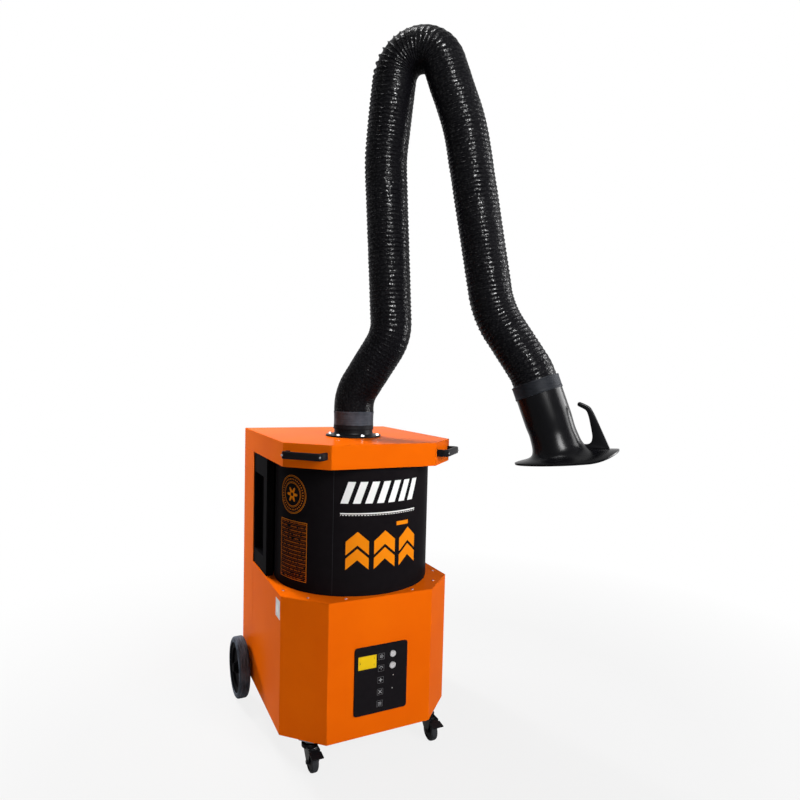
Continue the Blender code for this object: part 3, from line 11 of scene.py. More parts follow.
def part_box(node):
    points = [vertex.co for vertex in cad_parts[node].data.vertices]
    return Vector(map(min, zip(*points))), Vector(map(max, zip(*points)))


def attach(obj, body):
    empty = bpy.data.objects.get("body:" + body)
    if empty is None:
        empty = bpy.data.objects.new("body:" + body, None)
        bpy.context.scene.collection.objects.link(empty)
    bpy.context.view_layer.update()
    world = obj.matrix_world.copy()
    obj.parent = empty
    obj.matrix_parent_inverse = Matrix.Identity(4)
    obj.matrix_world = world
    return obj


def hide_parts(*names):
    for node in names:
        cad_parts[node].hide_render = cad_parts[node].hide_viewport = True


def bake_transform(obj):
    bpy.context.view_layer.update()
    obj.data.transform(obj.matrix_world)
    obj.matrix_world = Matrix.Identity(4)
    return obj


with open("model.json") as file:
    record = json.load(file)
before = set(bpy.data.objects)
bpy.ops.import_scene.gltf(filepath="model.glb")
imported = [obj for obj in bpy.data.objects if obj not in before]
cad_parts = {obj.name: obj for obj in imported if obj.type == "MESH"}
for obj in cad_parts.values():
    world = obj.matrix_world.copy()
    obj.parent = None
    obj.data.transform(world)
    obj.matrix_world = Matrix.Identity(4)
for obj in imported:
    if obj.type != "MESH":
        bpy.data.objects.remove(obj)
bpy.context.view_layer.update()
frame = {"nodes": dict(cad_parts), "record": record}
print("frame loaded:", len(frame["nodes"]), "nodes")

bodyOf = {n: b for b, members in frame["record"]["behaviour"]["bodies"].items() for n in members}
slotOf = {s["node"]: s["material_slot"] for s in frame["record"]["subparts"]}
finishes = {}
tiny = 1e-6

# the cabinet's own frame: x across, y back from its middle, z up from the floor
cabinet = {"half": 0.3275, "depth": 0.762, "chamfer": 0.130}
baseLow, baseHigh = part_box("base_shell")
cabinetOrigin = np.array([(baseLow.x + baseHigh.x) / 2, baseLow.y + cabinet["depth"] / 2, 0.0])


def place(x, y, z):
    return cabinetOrigin + np.array([x, y, z])


def middle(node):
    low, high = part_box(node)
    return (np.array(low) + np.array(high)) / 2


# Shapes from numpy.

def unit(v):
    v = np.asarray(v, float)
    return v / np.linalg.norm(v)


def bell(value, centre, width):
    # e to the minus ((value - centre) / width) squared
    return np.exp(-((value - centre) / width) ** 2)


def fullTurn(steps):
    return np.linspace(0, 2 * np.pi, steps, endpoint=False)


def crossFrame(axis):
    # two directions square to an axis, so that right x up = axis
    axis = unit(axis)
    side = np.array([0.0, 0.0, 1.0]) if abs(axis[2]) < 0.9 else np.array([1.0, 0.0, 0.0])
    right = unit(np.cross(side, axis))
    return right, np.cross(axis, right), axis


def gridFaces(rows, cols, closeRows=False):
    # quads between each closed ring of points and the next
    r = np.arange(rows if closeRows else rows - 1)[:, None]
    c = np.arange(cols)[None, :]
    r2, c2 = (r + 1) % rows, (c + 1) % cols
    quads = [r * cols + c, r * cols + c2, r2 * cols + c2, r2 * cols + c]
    return np.stack(quads, -1).reshape(-1, 4)


def endCaps(rows, cols):
    # the first ring, turned back, and the last one, as flat ends
    return list(range(cols))[::-1], list(range((rows - 1) * cols, rows * cols))


def outward(verts, faces, caps=()):
    # turns every face round where the sum of (a x b).c over the faces is negative
    a, b, c, d = (verts[faces[:, k]] for k in range(4))
    volume = np.einsum("ij,ij->", np.cross(a, b), c) + np.einsum("ij,ij->", np.cross(a, c), d)
    for cap in caps:
        p = verts[list(cap)]
        volume += np.einsum("ij,ij->", np.cross(np.repeat(p[:1], len(p) - 2, 0), p[1:-1]), p[2:])
    faces = [list(map(int, f)) for f in (faces if volume > 0 else faces[:, ::-1])]
    return faces + [list(map(int, cap if volume > 0 else cap[::-1])) for cap in caps]


def addObject(name, data):
    thing = bpy.data.objects.new(name, data)
    bpy.context.scene.collection.objects.link(thing)
    return thing


def shadeSmooth(mesh, sharp):
    # smooth, except over edges sharper than an angle
    mesh.polygons.foreach_set("use_smooth", [True] * len(mesh.polygons))
    mesh.set_sharp_from_angle(angle=math.radians(sharp))


def piece(name, verts, faces, finish, node=None, body=None, sharp=35, merge=True):
    mesh = bpy.data.meshes.new(name)
    mesh.from_pydata(verts.tolist(), [], faces)
    if merge:
        work = bmesh.new()
        work.from_mesh(mesh)
        bmesh.ops.remove_doubles(work, verts=work.verts, dist=tiny)
        work.to_mesh(mesh)
        work.free()
    shadeSmooth(mesh, sharp)
    return settle(addObject(name, mesh), finish, node, body)


def settle(thing, finish, node=None, body=None):
    # gives the piece its finish and its body, and hides the CAD node it stands for
    thing.data.materials.clear()
    thing.data.materials.append(finishes[finish])
    if body is None:
        body = bodyOf[node]
    if body:
        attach(thing, body)
    if node:
        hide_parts(node)
    return thing


def soften(points, radius, steps=4, closed=True):
    # each corner becomes (1-t)^2 start + 2t(1-t) corner + t^2 end, within a radius of it
    # and within 0.48 of its shorter side
    p = np.asarray(points, float)
    before, after = np.roll(p, 1, 0) - p, np.roll(p, -1, 0) - p
    lb, la = (np.linalg.norm(v, axis=1, keepdims=True) + 1e-12 for v in (before, after))
    radius = np.broadcast_to(np.asarray(radius, float), (len(p),))[:, None]
    reach = np.minimum(radius, 0.48 * np.minimum(lb, la))
    start, end = p + before / lb * reach, p + after / la * reach
    t = np.linspace(0, 1, steps)[None, :, None]
    curve = (1 - t) ** 2 * start[:, None] + 2 * t * (1 - t) * p[:, None] + t ** 2 * end[:, None]
    if closed:
        return curve.reshape(-1, p.shape[1])
    return np.concatenate([p[:1], curve[1:-1].reshape(-1, p.shape[1]), p[-1:]])


def roundedBox(width, height, radius, steps=4):
    # the four corners of a flat oblong, softened
    w, h = width / 2, height / 2
    return soften([(w, -h), (w, h), (-w, h), (-w, -h)], radius, steps)


def mirrored(profile):
    # a profile of (reach, height) and its image below the middle
    return profile + [(reach, -height) for reach, height in reversed(profile)]


def lathe(name, profile, centre, axis, finish, node=None, body=None, steps=96, closed=True):
    # point = centre + reach (cos a, sin a) across the axis + height along it
    right, up, along = crossFrame(axis)
    profile = np.asarray(profile, float)
    angle = fullTurn(steps)
    ring = np.cos(angle)[:, None] * right + np.sin(angle)[:, None] * up
    verts = np.asarray(centre, float) + profile[:, :1, None] * ring + profile[:, 1:, None] * along
    verts = verts.reshape(-1, 3)
    faces = outward(verts, gridFaces(len(profile), steps, closeRows=closed))
    return piece(name, verts, faces, finish, node, body)


def sweep(name, path, flat, section, finish, node):
    # a section carried along a flat path: point = path + a (tangent x flat) + b flat
    tangent = np.gradient(path, axis=0)
    tangent /= np.linalg.norm(tangent, axis=1, keepdims=True)
    across = np.cross(tangent, flat)
    verts = path[:, None] + section[:, :1] * across[:, None] + section[:, 1:] * flat
    verts = verts.reshape(-1, 3)
    rows, cols = len(path), len(section)
    faces = outward(verts, gridFaces(rows, cols), endCaps(rows, cols))
    return piece(name, verts, faces, finish, node)


def fasten(name, spots, direction, radius, height, sink, sides, finish):
    # pan-head screws: each a softened low profile turned round its own axis
    right, up, along = crossFrame(direction)
    head = soften([(0, height), (radius, height * 0.75), (radius, -sink), (0, -sink)],
                  [0, radius * 0.35, 0, 0], 4)
    head = np.concatenate([[[0, height]], [p for p in head if p[0] > tiny], [[0, -sink]]])
    angle = fullTurn(sides)
    ring = np.cos(angle)[:, None] * right + np.sin(angle)[:, None] * up
    one = head[:, 0][:, None, None] * ring + head[:, 1][:, None, None] * along
    faces = outward(one.reshape(-1, 3), gridFaces(len(head), sides))
    count = len(head) * sides
    verts = np.concatenate([one.reshape(-1, 3) + np.asarray(s) for s in spots])
    every = [[i + k * count for i in f] for k in range(len(spots)) for f in faces]
    return piece(name, verts, every, finish, body="cabinet", sharp=40)


def softCopy(node, width, finish, steps, least, name=None):
    # the CAD solid with its outer folds rounded; its flat faces stay flat
    fold = {"flat": 0.6, "bend": 25, "sharp": 32}
    name = name or node + "_soft"
    mesh = bpy.data.meshes.new(name)
    work = bmesh.new()
    work.from_mesh(frame["nodes"][node].data)
    bmesh.ops.remove_doubles(work, verts=work.verts, dist=tiny)
    bmesh.ops.dissolve_limit(work, angle_limit=math.radians(fold["flat"]), verts=work.verts,
                             edges=work.edges)
    folds = [e for e in work.edges if len(e.link_faces) == 2 and e.is_convex
             and e.calc_face_angle() > math.radians(fold["bend"])
             and min(f.calc_area() for f in e.link_faces) > least]
    bmesh.ops.bevel(work, geom=folds, offset=width, segments=steps, profile=0.5,
                    affect="EDGES", clamp_overlap=True)
    bmesh.ops.triangulate(work, faces=[f for f in work.faces if len(f.verts) > 4])
    work.to_mesh(mesh)
    work.free()
    shadeSmooth(mesh, fold["sharp"])
    thing = addObject(name, mesh)
    even = thing.modifiers.new("even normals", "WEIGHTED_NORMAL")
    even.keep_sharp = True
    return settle(thing, finish, node)


def latticeNoise(u, v, cols, seed, cell):
    # smooth noise: random values on a lattice, eased by 3t^2 - 2t^3; v repeats over cols
    rows = 4096
    table = np.random.default_rng(seed).random((rows, cols))
    u = u / cell
    i, j = np.floor(u).astype(int), np.floor(v).astype(int)
    s, t = u - i, v - j
    s, t = s * s * (3 - 2 * s), t * t * (3 - 2 * t)
    i0, i1, j0, j1 = i % rows, (i + 1) % rows, j % cols, (j + 1) % cols
    low = table[i0, j0] * (1 - t) + table[i0, j1] * t
    high = table[i1, j0] * (1 - t) + table[i1, j1] * t
    return low * (1 - s) + high * s


# Finishes.

class Wire:
    # one socket of a material, so that its sums read as sums
    def __init__(self, paint, socket):
        self.paint, self.socket = paint, socket

    def math(self, kind, *others): return self.paint.math(kind, self, *others)
    def __add__(self, other): return self.math("ADD", other)
    def __radd__(self, other): return self.math("ADD", other)
    def __sub__(self, other): return self.math("SUBTRACT", other)
    def __rsub__(self, other): return self.paint.math("SUBTRACT", other, self)
    def __mul__(self, other): return self.math("MULTIPLY", other)
    def __rmul__(self, other): return self.math("MULTIPLY", other)
    def __truediv__(self, other): return self.math("DIVIDE", other)
    def __lt__(self, other): return self.math("LESS_THAN", other)
    def __gt__(self, other): return self.math("GREATER_THAN", other)
    def __mod__(self, other): return self.math("FLOORED_MODULO", other)
    def __abs__(self): return self.math("ABSOLUTE")
    def most(self, other): return self.math("MAXIMUM", other)
    def within(self, centre, half): return abs(self - centre) < half


def addNode(tree, kind, values=(), **settings):
    # any node: its settings first, then the values or links of its sockets
    made = tree.nodes.new("ShaderNode" + kind)
    for key, value in settings.items():
        setattr(made, key, value)
    for key, value in (values.items() if isinstance(values, dict) else enumerate(values)):
        fill(tree, made.inputs[key], value)
    return made


def fill(tree, socket, value):
    if isinstance(value, Wire):
        value = value.socket
    if isinstance(value, bpy.types.NodeSocket):
        tree.links.new(value, socket)
    elif hasattr(value, "__len__") and len(value) == 3 and socket.type == "RGBA":
        socket.default_value = (*value, 1.0)
    else:
        socket.default_value = value


class Paint:
    # a Principled material and its nodes
    def __init__(self, name, slotName, **settings):
        material = bpy.data.materials.new(name)
        material.use_nodes = True
        self.tree = material.node_tree
        finishes[name] = material
        for socket, value in settings.items():
            self.put(socket.replace("_", " "), value)
        self.coords = self.node("TexCoord", out="Object")

    def put(self, socket, value):
        fill(self.tree, self.tree.nodes["Principled BSDF"].inputs[socket], value)

    def finish(self, colour, rough, normal):
        self.put("Base Color", colour)
        self.put("Roughness", rough)
        self.put("Normal", normal)

    def node(self, kind, values=(), out=0, **settings):
        return Wire(self, addNode(self.tree, kind, values, **settings).outputs[out])

    def math(self, kind, *values):
        return self.node("Math", values, operation=kind)

    def axes(self, centre=(0, 0, 0)):
        away = (self.coords, tuple(float(c) for c in centre))
        moved = self.node("VectorMath", away, operation="SUBTRACT")
        return [self.node("SeparateXYZ", (moved,), k) for k in range(3)]

    def stretched(self, scale):
        return self.node("Mapping", {"Vector": self.coords, "Scale": scale})

    def noise(self, scale, detail=2.0, vector=None, rough=0.5):
        return self.node("TexNoise", {"Vector": vector or self.coords, "Scale": scale,
                                      "Detail": detail, "Roughness": rough})

    def cells(self, scale, feature="F1"):
        return self.node("TexVoronoi", {"Vector": self.coords, "Scale": scale}, "Distance",
                         feature=feature)

    def ease(self, value, low, high, start=0.0, end=1.0):
        return self.node("MapRange", {"Value": value, "From Min": low, "From Max": high,
                                      "To Min": start, "To Max": end},
                         interpolation_type="SMOOTHSTEP")

    def mix(self, share, first, second):
        return self.node("Mix", {0: share, 6: first, 7: second}, 2, data_type="RGBA")

    def bump(self, height, depth, strength=1.0, under=None):
        values = {"Height": height, "Distance": depth, "Strength": strength}
        if under is not None:
            values["Normal"] = under
        return self.node("Bump", values)


def orangeCoat():
    # powder coat: fine orange peel, faint clouding, and handling that dulls it low down
    coat = {"colour": (0.84, 0.138, 0.0022), "deep": (0.80, 0.122, 0.0020), "rough": 0.20,
            "cloud": 0.05, "dull": 0.10, "dullBelow": (0.35, 0.1), "peel": 0.00012}
    p = Paint("orangeCoat", "orange_paint", IOR=1.02)
    cloud = p.noise(3.5, 3.0)
    x, y, z = p.axes()
    scuff = p.ease(p.noise(28.0, 6.0, rough=0.7), 0.55, 0.8) * p.ease(z, *coat["dullBelow"])
    p.finish(p.mix(p.ease(cloud, 0.3, 0.7), coat["deep"], coat["colour"]),
             coat["rough"] + coat["cloud"] * cloud + coat["dull"] * scuff,
             p.bump(p.noise(520.0, 1.0), coat["peel"], 0.35))


def drumWrap(drum):
    # black enamel with plain printed shapes: u runs round the drum from its front, z up.
    # Widths and places round the drum are degrees of turn; a band is (middle, half).
    ink = {"white": (0.86, 0.86, 0.85), "orange": (0.86, 0.245, 0.006),
           "row": (0.36, 0.080, 0.005), "seam": (0.03, 0.03, 0.032),
           "ground": ((0.0062, 0.0052, 0.0062), (0.0095, 0.0080, 0.0092))}
    bars = {"count": 7, "width": 58, "foot": 0.928, "tall": 0.076, "lean": 0.35, "share": 0.62,
            "rule": (0.8925, 0.0022), "dots": (0.8865, 0.0013), "pitch": 0.011, "dot": 0.55}
    # each arrow: its tip, how thick it is and where its legs are cut off
    chevron = {"first": -17, "apart": 19.5, "count": 3, "slope": 0.85, "half": 0.041,
               "arrows": ((0.829, 0.048, 0.70), (0.769, 0.040, 0.0)),
               "mark": (11.5, 22, 0.842, 0.856)}
    rosette = {"turn": -67.5, "z": 0.942, "petals": 6.0, "reach": 0.020, "swell": 0.0085,
               "eye": 0.007, "beads": (0.0550, 0.0024), "beadCount": 36, "bead": 0.36,
               "rings": ((0.0685, 0.0008), (0.0645, 0.0006), (0.0455, 0.0006),
                         (0.0415, 0.0008))}
    table = {"outer": (-81, -53, 0.635, 0.848), "inner": (-80.6, -53.4, 0.6368, 0.8462),
             "pitch": 0.0142, "row": (0.36, 0.66), "rule": 0.07, "gaps": 0.44}
    seam = {"turn": -33.7, "half": 0.0007}

    p = Paint("drumWrap", "black_paint", IOR=1.025)
    x, y, z = p.axes((*drum["centre"][:2], 0))
    u = p.math("ARCTAN2", x, 0 - y) * drum["radius"]
    deg = drum["radius"] * math.pi / 180

    def oblong(left, right, low, high):
        return (u.within((left + right) / 2 * deg, (right - left) / 2 * deg)
                * z.within((low + high) / 2, (high - low) / 2))

    # slanted white bars over a rule and a row of dots
    half, rise = bars["width"] / 2 * deg, bars["tall"] / 2
    lean = u - (z - bars["foot"]) * bars["lean"]
    bar = (lean + half) / (2 * half / bars["count"]) % 1.0 < bars["share"]
    white = bar * lean.within(0.0, half) * z.within(bars["foot"] + rise, rise)
    dot = (u / bars["pitch"]) % 1.0 < bars["dot"]
    line = u.within(0.0, half)
    white = white.most(line * z.within(*bars["rule"])).most(dot * line * z.within(*bars["dots"]))

    # orange chevrons that point up, and a short bar above the last
    orange = oblong(*chevron["mark"])
    for k in range(chevron["count"]):
        away = u - (chevron["first"] + chevron["apart"] * k) * deg
        for tip, thick, foot in chevron["arrows"]:
            under = z - (tip - chevron["slope"] * abs(away))
            arrow = (under < 0) * (under > -thick) * (abs(away) < chevron["half"])
            orange = orange.most(arrow * (z > foot))

    # a petalled rosette within rings and beads
    cu, cz = u - rosette["turn"] * deg, z - rosette["z"]
    reach, around = p.math("SQRT", cu * cu + cz * cz), p.math("ARCTAN2", cz, cu)
    petal = rosette["reach"] + rosette["swell"] * p.math("COSINE", around * rosette["petals"])
    fine = (reach < petal) * (reach > rosette["eye"])
    bead = around * (rosette["beadCount"] / (2 * math.pi)) % 1.0 < rosette["bead"]
    fine = fine.most(bead * reach.within(*rosette["beads"]))
    for ring in rosette["rings"]:
        fine = fine.most(reach.within(*ring))

    # a ruled and framed table of plain lines
    inside = oblong(*table["outer"])
    fine = fine.most(inside * (1 - oblong(*table["inner"])))
    step = ((z - table["outer"][2]) / table["pitch"]) % 1.0
    dashes = (step > table["row"][0]) * (step < table["row"][1])
    dashes = dashes * (p.noise(110.0, 1.0) > table["gaps"])
    rows = inside * dashes.most(step < table["rule"])

    grain = p.noise(40.0, 4.0)
    colour = p.mix(grain, *ink["ground"])
    for share, tone in ((rows, "row"), (fine, "orange"), (orange, "orange"), (white, "white"),
                        (u.within(seam["turn"] * deg, seam["half"]), "seam")):
        colour = p.mix(share, colour, ink[tone])
    p.finish(colour, 0.34 + 0.12 * grain + 0.08 * white, p.bump(p.noise(260.0, 2.0), 0.0001, 0.3))


def panelFace(panel):
    # black film with thin framed squares and plain signs; a band is (middle, half)
    film = {"top": 0.079, "apart": 0.0425, "drift": 0.001, "frame": (0.0108, 0.0005),
            "frameShare": 0.35, "signShare": 0.8, "print": (0.36, 0.36, 0.37),
            "ground": ((0.0070, 0.0060, 0.0072), (0.0110, 0.0095, 0.0112))}
    p = Paint("panelFace", "black_plastic", IOR=1.06)
    x, y, z = p.axes((panel["x"], 0, panel["z"]))

    def signAt(k, cx, cz, square):
        reach = p.math("SQRT", cx * cx + cz * cz)
        if k == 0:      # a dot in a ring
            return reach.within(0.0052, 0.0008).most(reach < 0.0018)
        if k == 1:      # a bow over a stem
            stem = cx.within(0.0, 0.0008) * cz.within(-0.002, 0.004)
            return (reach.within(0.0062, 0.0009) * (cz > 0.0)).most(stem)
        if k == 2:      # four leaves
            return reach < 0.0046 + 0.0026 * p.math("COSINE", p.math("ARCTAN2", cz, cx) * 4.0)
        if k == 3:      # a cross
            cross = (abs(cx - cz) < 0.0016).most(abs(cx + cz) < 0.0016)
            return cross * (square < 0.0066)
        # three bars
        return ((cz + 0.0075) / 0.005 % 1.0 < 0.45) * (square < 0.0068)

    marks = None
    for k in range(5):
        cx, cz = x + film["drift"] * k, z - (film["top"] - film["apart"] * k)
        square = abs(cx).most(abs(cz))
        mark = (square.within(*film["frame"]) * film["frameShare"]).most(
            signAt(k, cx, cz, square) * film["signShare"])
        marks = mark if marks is None else marks.most(mark)
    grain = p.noise(60.0, 3.0)
    p.finish(p.mix(marks, p.mix(grain, *film["ground"]), film["print"]), 0.36 + 0.12 * grain,
             p.bump(p.noise(900.0, 1.0), 0.00006, 0.4))


def buttonFace(node):
    # white cap with a grey ring and a small round sign
    cap = {"ring": (0.0088, 0.0007), "sign": (0.0034, 0.0006), "print": (0.20, 0.20, 0.21),
           "ground": ((0.47, 0.46, 0.47), (0.62, 0.60, 0.61))}
    p = Paint(node + "_face", "white_plastic", IOR=1.3)
    x, y, z = p.axes(middle(node))
    reach = p.math("SQRT", x * x + z * z)
    sign = reach.within(*cap["sign"]) * (p.noise(240.0, 1.0) > 0.46)
    tone = p.noise(120.0, 3.0)
    marks = (reach.within(*cap["ring"]) * 0.6).most(sign * 0.7)
    p.finish(p.mix(marks, p.mix(tone, *cap["ground"]), cap["print"]), 0.28 + 0.12 * tone,
             p.bump(tone, 0.0001, 0.5))


def mouldedPlastic(name, slotName, dark, light, rough, grainScale, depth, index):
    # fine pebble grain over a slow shift of tone
    p = Paint(name, slotName, IOR=index)
    tone = p.noise(14.0, 4.0)
    p.finish(p.mix(tone, dark, light), rough + 0.10 * (tone - 0.5),
             p.bump(p.noise(grainScale, 2.0), depth, 0.5))


def brushed(name, slotName, dark, light, rough, scale, depth):
    # long fine scratches over a mottled tone
    p = Paint(name, slotName, Metallic=1.0)
    streak = p.noise(1.0, 3.0, p.stretched(scale))
    tone = p.ease(streak * 0.7 + p.cells(60.0) * 0.5, 0.2, 0.8)
    p.finish(p.mix(tone, dark, light), rough + 0.18 * (streak - 0.5), p.bump(streak, depth, 0.4))


def hoseCloth():
    # coated cloth: dull black, with a clear coat in small spots that catches the light as sparks
    cloth = {"dark": (0.0026, 0.0025, 0.0034), "light": (0.0062, 0.0060, 0.0080), "rough": 0.50,
             "spots": (0.53, 0.64, 0.06, 0.8), "crease": 0.0014, "weave": 0.00012}
    p = Paint("hoseCloth", "hose_fabric", IOR=1.05, Coat_IOR=1.25, Coat_Roughness=0.20)
    fine = p.noise(330.0, 3.0, rough=0.65)
    p.put("Coat Weight", p.ease(p.noise(210.0, 2.0), *cloth["spots"]))
    under = p.bump(p.cells(150.0, "SMOOTH_F1") + 0.5 * fine, cloth["crease"], 0.8)
    p.finish(p.mix(p.ease(fine, 0.45, 0.75), cloth["dark"], cloth["light"]),
             cloth["rough"] + 0.12 * p.noise(30.0, 3.0),
             p.bump(p.noise(1500.0, 1.0), cloth["weave"], 0.5, under))


def sleeveRubber(name, dark, light, foot=None):
    # streaked along its turns; a lower sleeve's foot is black
    p = Paint(name, "grey_rubber", IOR=1.08)
    band = p.noise(1.0, 4.0, p.stretched((9.0, 9.0, 210.0)), 0.7)
    slow = p.noise(26.0, 4.0)
    colour = p.mix(p.ease(0.55 * band + 0.45 * slow, 0.32, 0.68), dark, light)
    if foot:
        x, y, z = p.axes()
        above = p.ease(z + 0.004 * slow, foot, foot + 0.002)
        colour = p.mix(above, (0.010, 0.0105, 0.0125), colour)
    p.finish(colour, 0.42 + 0.14 * slow,
             p.bump(band, 0.0003, 0.5, p.bump(p.noise(700.0, 2.0), 0.00015, 0.5)))


def tyreRubber():
    # moulded rubber with a little dust
    p = Paint("tyreRubber", "tyre_rubber", IOR=1.08)
    dust = p.noise(16.0, 5.0)
    p.finish(p.mix(dust, (0.014, 0.0145, 0.017), (0.030, 0.031, 0.036)), 0.55 + 0.2 * dust,
             p.bump(p.noise(300.0, 3.0), 0.0003, 0.5))


def wheelRubberPaintedShadeAndSheen(side, centre):
    # a near-black dish, painted shade of the recessed opening, within a rim and tread whose
    # lighter tone is wear and partly painted sheen, scratched along its rolling way
    look = {"wall": (0.0050, 0.0052, 0.0062), "dark": (0.024, 0.028, 0.035),
            "worn": (0.130, 0.148, 0.182), "dish": (0.1015, 0.1030)}
    p = Paint("wheelRubberPaintedShadeAndSheen_" + side, "tyre_rubber", IOR=1.05)
    x, y, z = p.axes(centre)
    scratch = p.noise(1.0, 5.0, p.stretched((420.0, 20.0, 20.0)), 0.7)
    dust = p.noise(16.0, 5.0)
    # the lighter worn tone of rim and tread is wear and partly a painted sheen
    tread = p.mix(p.ease(0.65 * scratch + 0.35 * dust, 0.36, 0.68), look["dark"], look["worn"])
    rim = p.ease(p.math("SQRT", y * y + z * z), *look["dish"])
    # the wall colour, near-black inside the dish, is painted shade of the recess
    p.finish(p.mix(rim, look["wall"], tread), 0.48 + 0.25 * dust, p.bump(scratch, 0.0006, 0.6))
    return "wheelRubberPaintedShadeAndSheen_" + side


def casterRubber(side, centre):
    # grey tread on a black wheel, told apart by the distance from the axle
    look = {"wheel": (0.006, 0.006, 0.007), "dark": (0.016, 0.017, 0.019),
            "worn": (0.050, 0.053, 0.058), "treadFrom": 0.0305}
    p = Paint("casterTread_" + side, "black_plastic", IOR=1.08)
    x, y, z = p.axes(centre)
    wear = p.noise(1.0, 4.0, p.stretched((500.0, 60.0, 60.0)), 0.7)
    tread = p.mix(wear, look["dark"], look["worn"])
    rim = p.math("SQRT", y * y + z * z) > look["treadFrom"]
    p.finish(p.mix(rim, look["wheel"], tread), 0.42 + 0.2 * wear, p.bump(wear, 0.0004, 0.5))
    return "casterTread_" + side


def filterPaper():
    p = Paint("filterPaper", "filter_paper")
    fibre = p.noise(600.0, 5.0, rough=0.7)
    p.finish(p.mix(fibre, (0.60, 0.58, 0.52), (0.80, 0.78, 0.73)), 0.9,
             p.bump(fibre, 0.0003, 0.6))


def paleLabel():
    # printed plate: flat colour, a little handling dirt
    p = Paint("paleLabel", "white_plastic", IOR=1.25)
    dirt = p.noise(30.0, 3.0)
    p.finish(p.mix(p.ease(dirt, 0.35, 0.75), (0.78, 0.78, 0.76), (0.52, 0.52, 0.51)),
             0.4 + 0.15 * dirt, p.bump(p.noise(500.0, 1.0), 0.00005, 0.4))


def yellowPlate(centre):
    # flat yellow with three short strokes near its ends; a band is (middle, half)
    plate = {"first": ((-0.0285, 0.0006), (0.001, 0.007)),
             "second": ((-0.0265, 0.0012), (0.0, 0.0022)),
             "third": ((0.0255, 0.0007), (0.0115, 0.0035)),
             "ground": ((0.76, 0.48, 0.003), (0.84, 0.56, 0.005)), "print": (0.10, 0.06, 0.004)}
    p = Paint("yellowPlate", "white_plastic", IOR=1.2)
    x, y, z = p.axes(centre)
    tone = p.noise(30.0, 3.0)
    stroke = None
    for key, height in (("first", z), ("second", z), ("third", abs(z))):
        across, up = plate[key]
        one = x.within(*across) * height.within(*up)
        stroke = one if stroke is None else stroke.most(one)
    p.finish(p.mix(stroke * 0.8, p.mix(tone, *plate["ground"]), plate["print"]),
             0.4 + 0.15 * tone, p.bump(p.noise(500.0, 1.0), 0.00005, 0.4))


drumLow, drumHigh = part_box("filter_drum")
drum = {"centre": middle("filter_drum"), "radius": (drumHigh.x - drumLow.x) / 2,
        "bottom": drumLow.z, "top": drumHigh.z, "wall": 0.003, "rim": 0.0012, "steps": 240}
panelLow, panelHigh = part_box("control_panel")
panel = {"x": (panelLow.x + panelHigh.x) / 2, "z": (panelLow.z + panelHigh.z) / 2,
         "face": panelLow.y, "plate": (0.0685, 0.047), "plateAt": (-0.054, 0.0665)}

orangeCoat()
drumWrap(drum)
panelFace(panel)
# slot, dark and light tone, roughness, grain scale and depth, index
plastics = {
    "blackPlastic": ("black_plastic", (0.0055, 0.0054, 0.0065), (0.0095, 0.0092, 0.0110), 0.40,
                     650.0, 0.00015, 1.09),
    "glossPlastic": ("black_plastic", (0.0018, 0.0018, 0.0024), (0.0036, 0.0036, 0.0048), 0.24,
                     60.0, 0.00010, 1.14),
    "gripPlastic": ("black_plastic", (0.0036, 0.0034, 0.0040), (0.0064, 0.0060, 0.0070), 0.45,
                    650.0, 0.00015, 1.02),
    "blackEnamel": ("black_paint", (0.0050, 0.0050, 0.0060), (0.0095, 0.0095, 0.0110), 0.38,
                    420.0, 0.00012, 1.10),
    "whitePlastic": ("white_plastic", (0.46, 0.46, 0.455), (0.60, 0.60, 0.59), 0.30, 700.0,
                     0.00006, 1.3)}
for name, look in plastics.items():
    mouldedPlastic(name, *look)
for node in ("button_start", "button_stop"):
    buttonFace(node)
# slot, dark and light tone, roughness, scale of the scratches and their depth
metals = {
    "steel": ("steel", (0.36, 0.36, 0.37), (0.62, 0.62, 0.63), 0.32, (60.0, 60.0, 900.0), 0.00005),
    "darkSteel": ("steel", (0.10, 0.10, 0.105), (0.20, 0.20, 0.21), 0.40, (160.0, 160.0, 160.0),
                  0.00004),
    "zinc": ("zinc", (0.50, 0.51, 0.53), (0.74, 0.75, 0.77), 0.36, (180.0, 180.0, 60.0), 0.00004),
    "castAluminium": ("cast_aluminium", (0.42, 0.43, 0.44), (0.60, 0.61, 0.62), 0.50,
                      (320.0, 320.0, 320.0), 0.0004)}
for name, look in metals.items():
    brushed(name, *look)
hoseCloth()
sleeveRubber("greyRubber", (0.030, 0.036, 0.046), (0.078, 0.092, 0.114),
             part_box("lower_cuff")[0].z + 0.018)
sleeveRubber("darkSleeve", (0.0105, 0.0118, 0.0150), (0.025, 0.0272, 0.0330))
tyreRubber()
filterPaper()
plateX, plateZ = panel["x"] + panel["plateAt"][0], panel["z"] + panel["plateAt"][1]
yellowPlate((plateX, 0, plateZ))
paleLabel()

slotFinish = {"orange_paint": "orangeCoat", "black_paint": "blackEnamel",
              "black_plastic": "blackPlastic", "hose_fabric": "hoseCloth",
              "grey_rubber": "greyRubber", "tyre_rubber": "tyreRubber", "steel": "steel",
              "zinc": "zinc", "cast_aluminium": "castAluminium",
              "white_plastic": "whitePlastic", "filter_paper": "filterPaper"}
nodeFinish = {"hood_damper": "glossPlastic", "caster_bolt_left": "blackEnamel",
              "caster_bolt_right": "blackEnamel"}
for node, thing in frame["nodes"].items():
    thing.data.materials.clear()
    thing.data.materials.append(finishes[nodeFinish.get(node, slotFinish[slotOf[node]])])
print("finishes made:", len(finishes))


# Cabinet and drum.

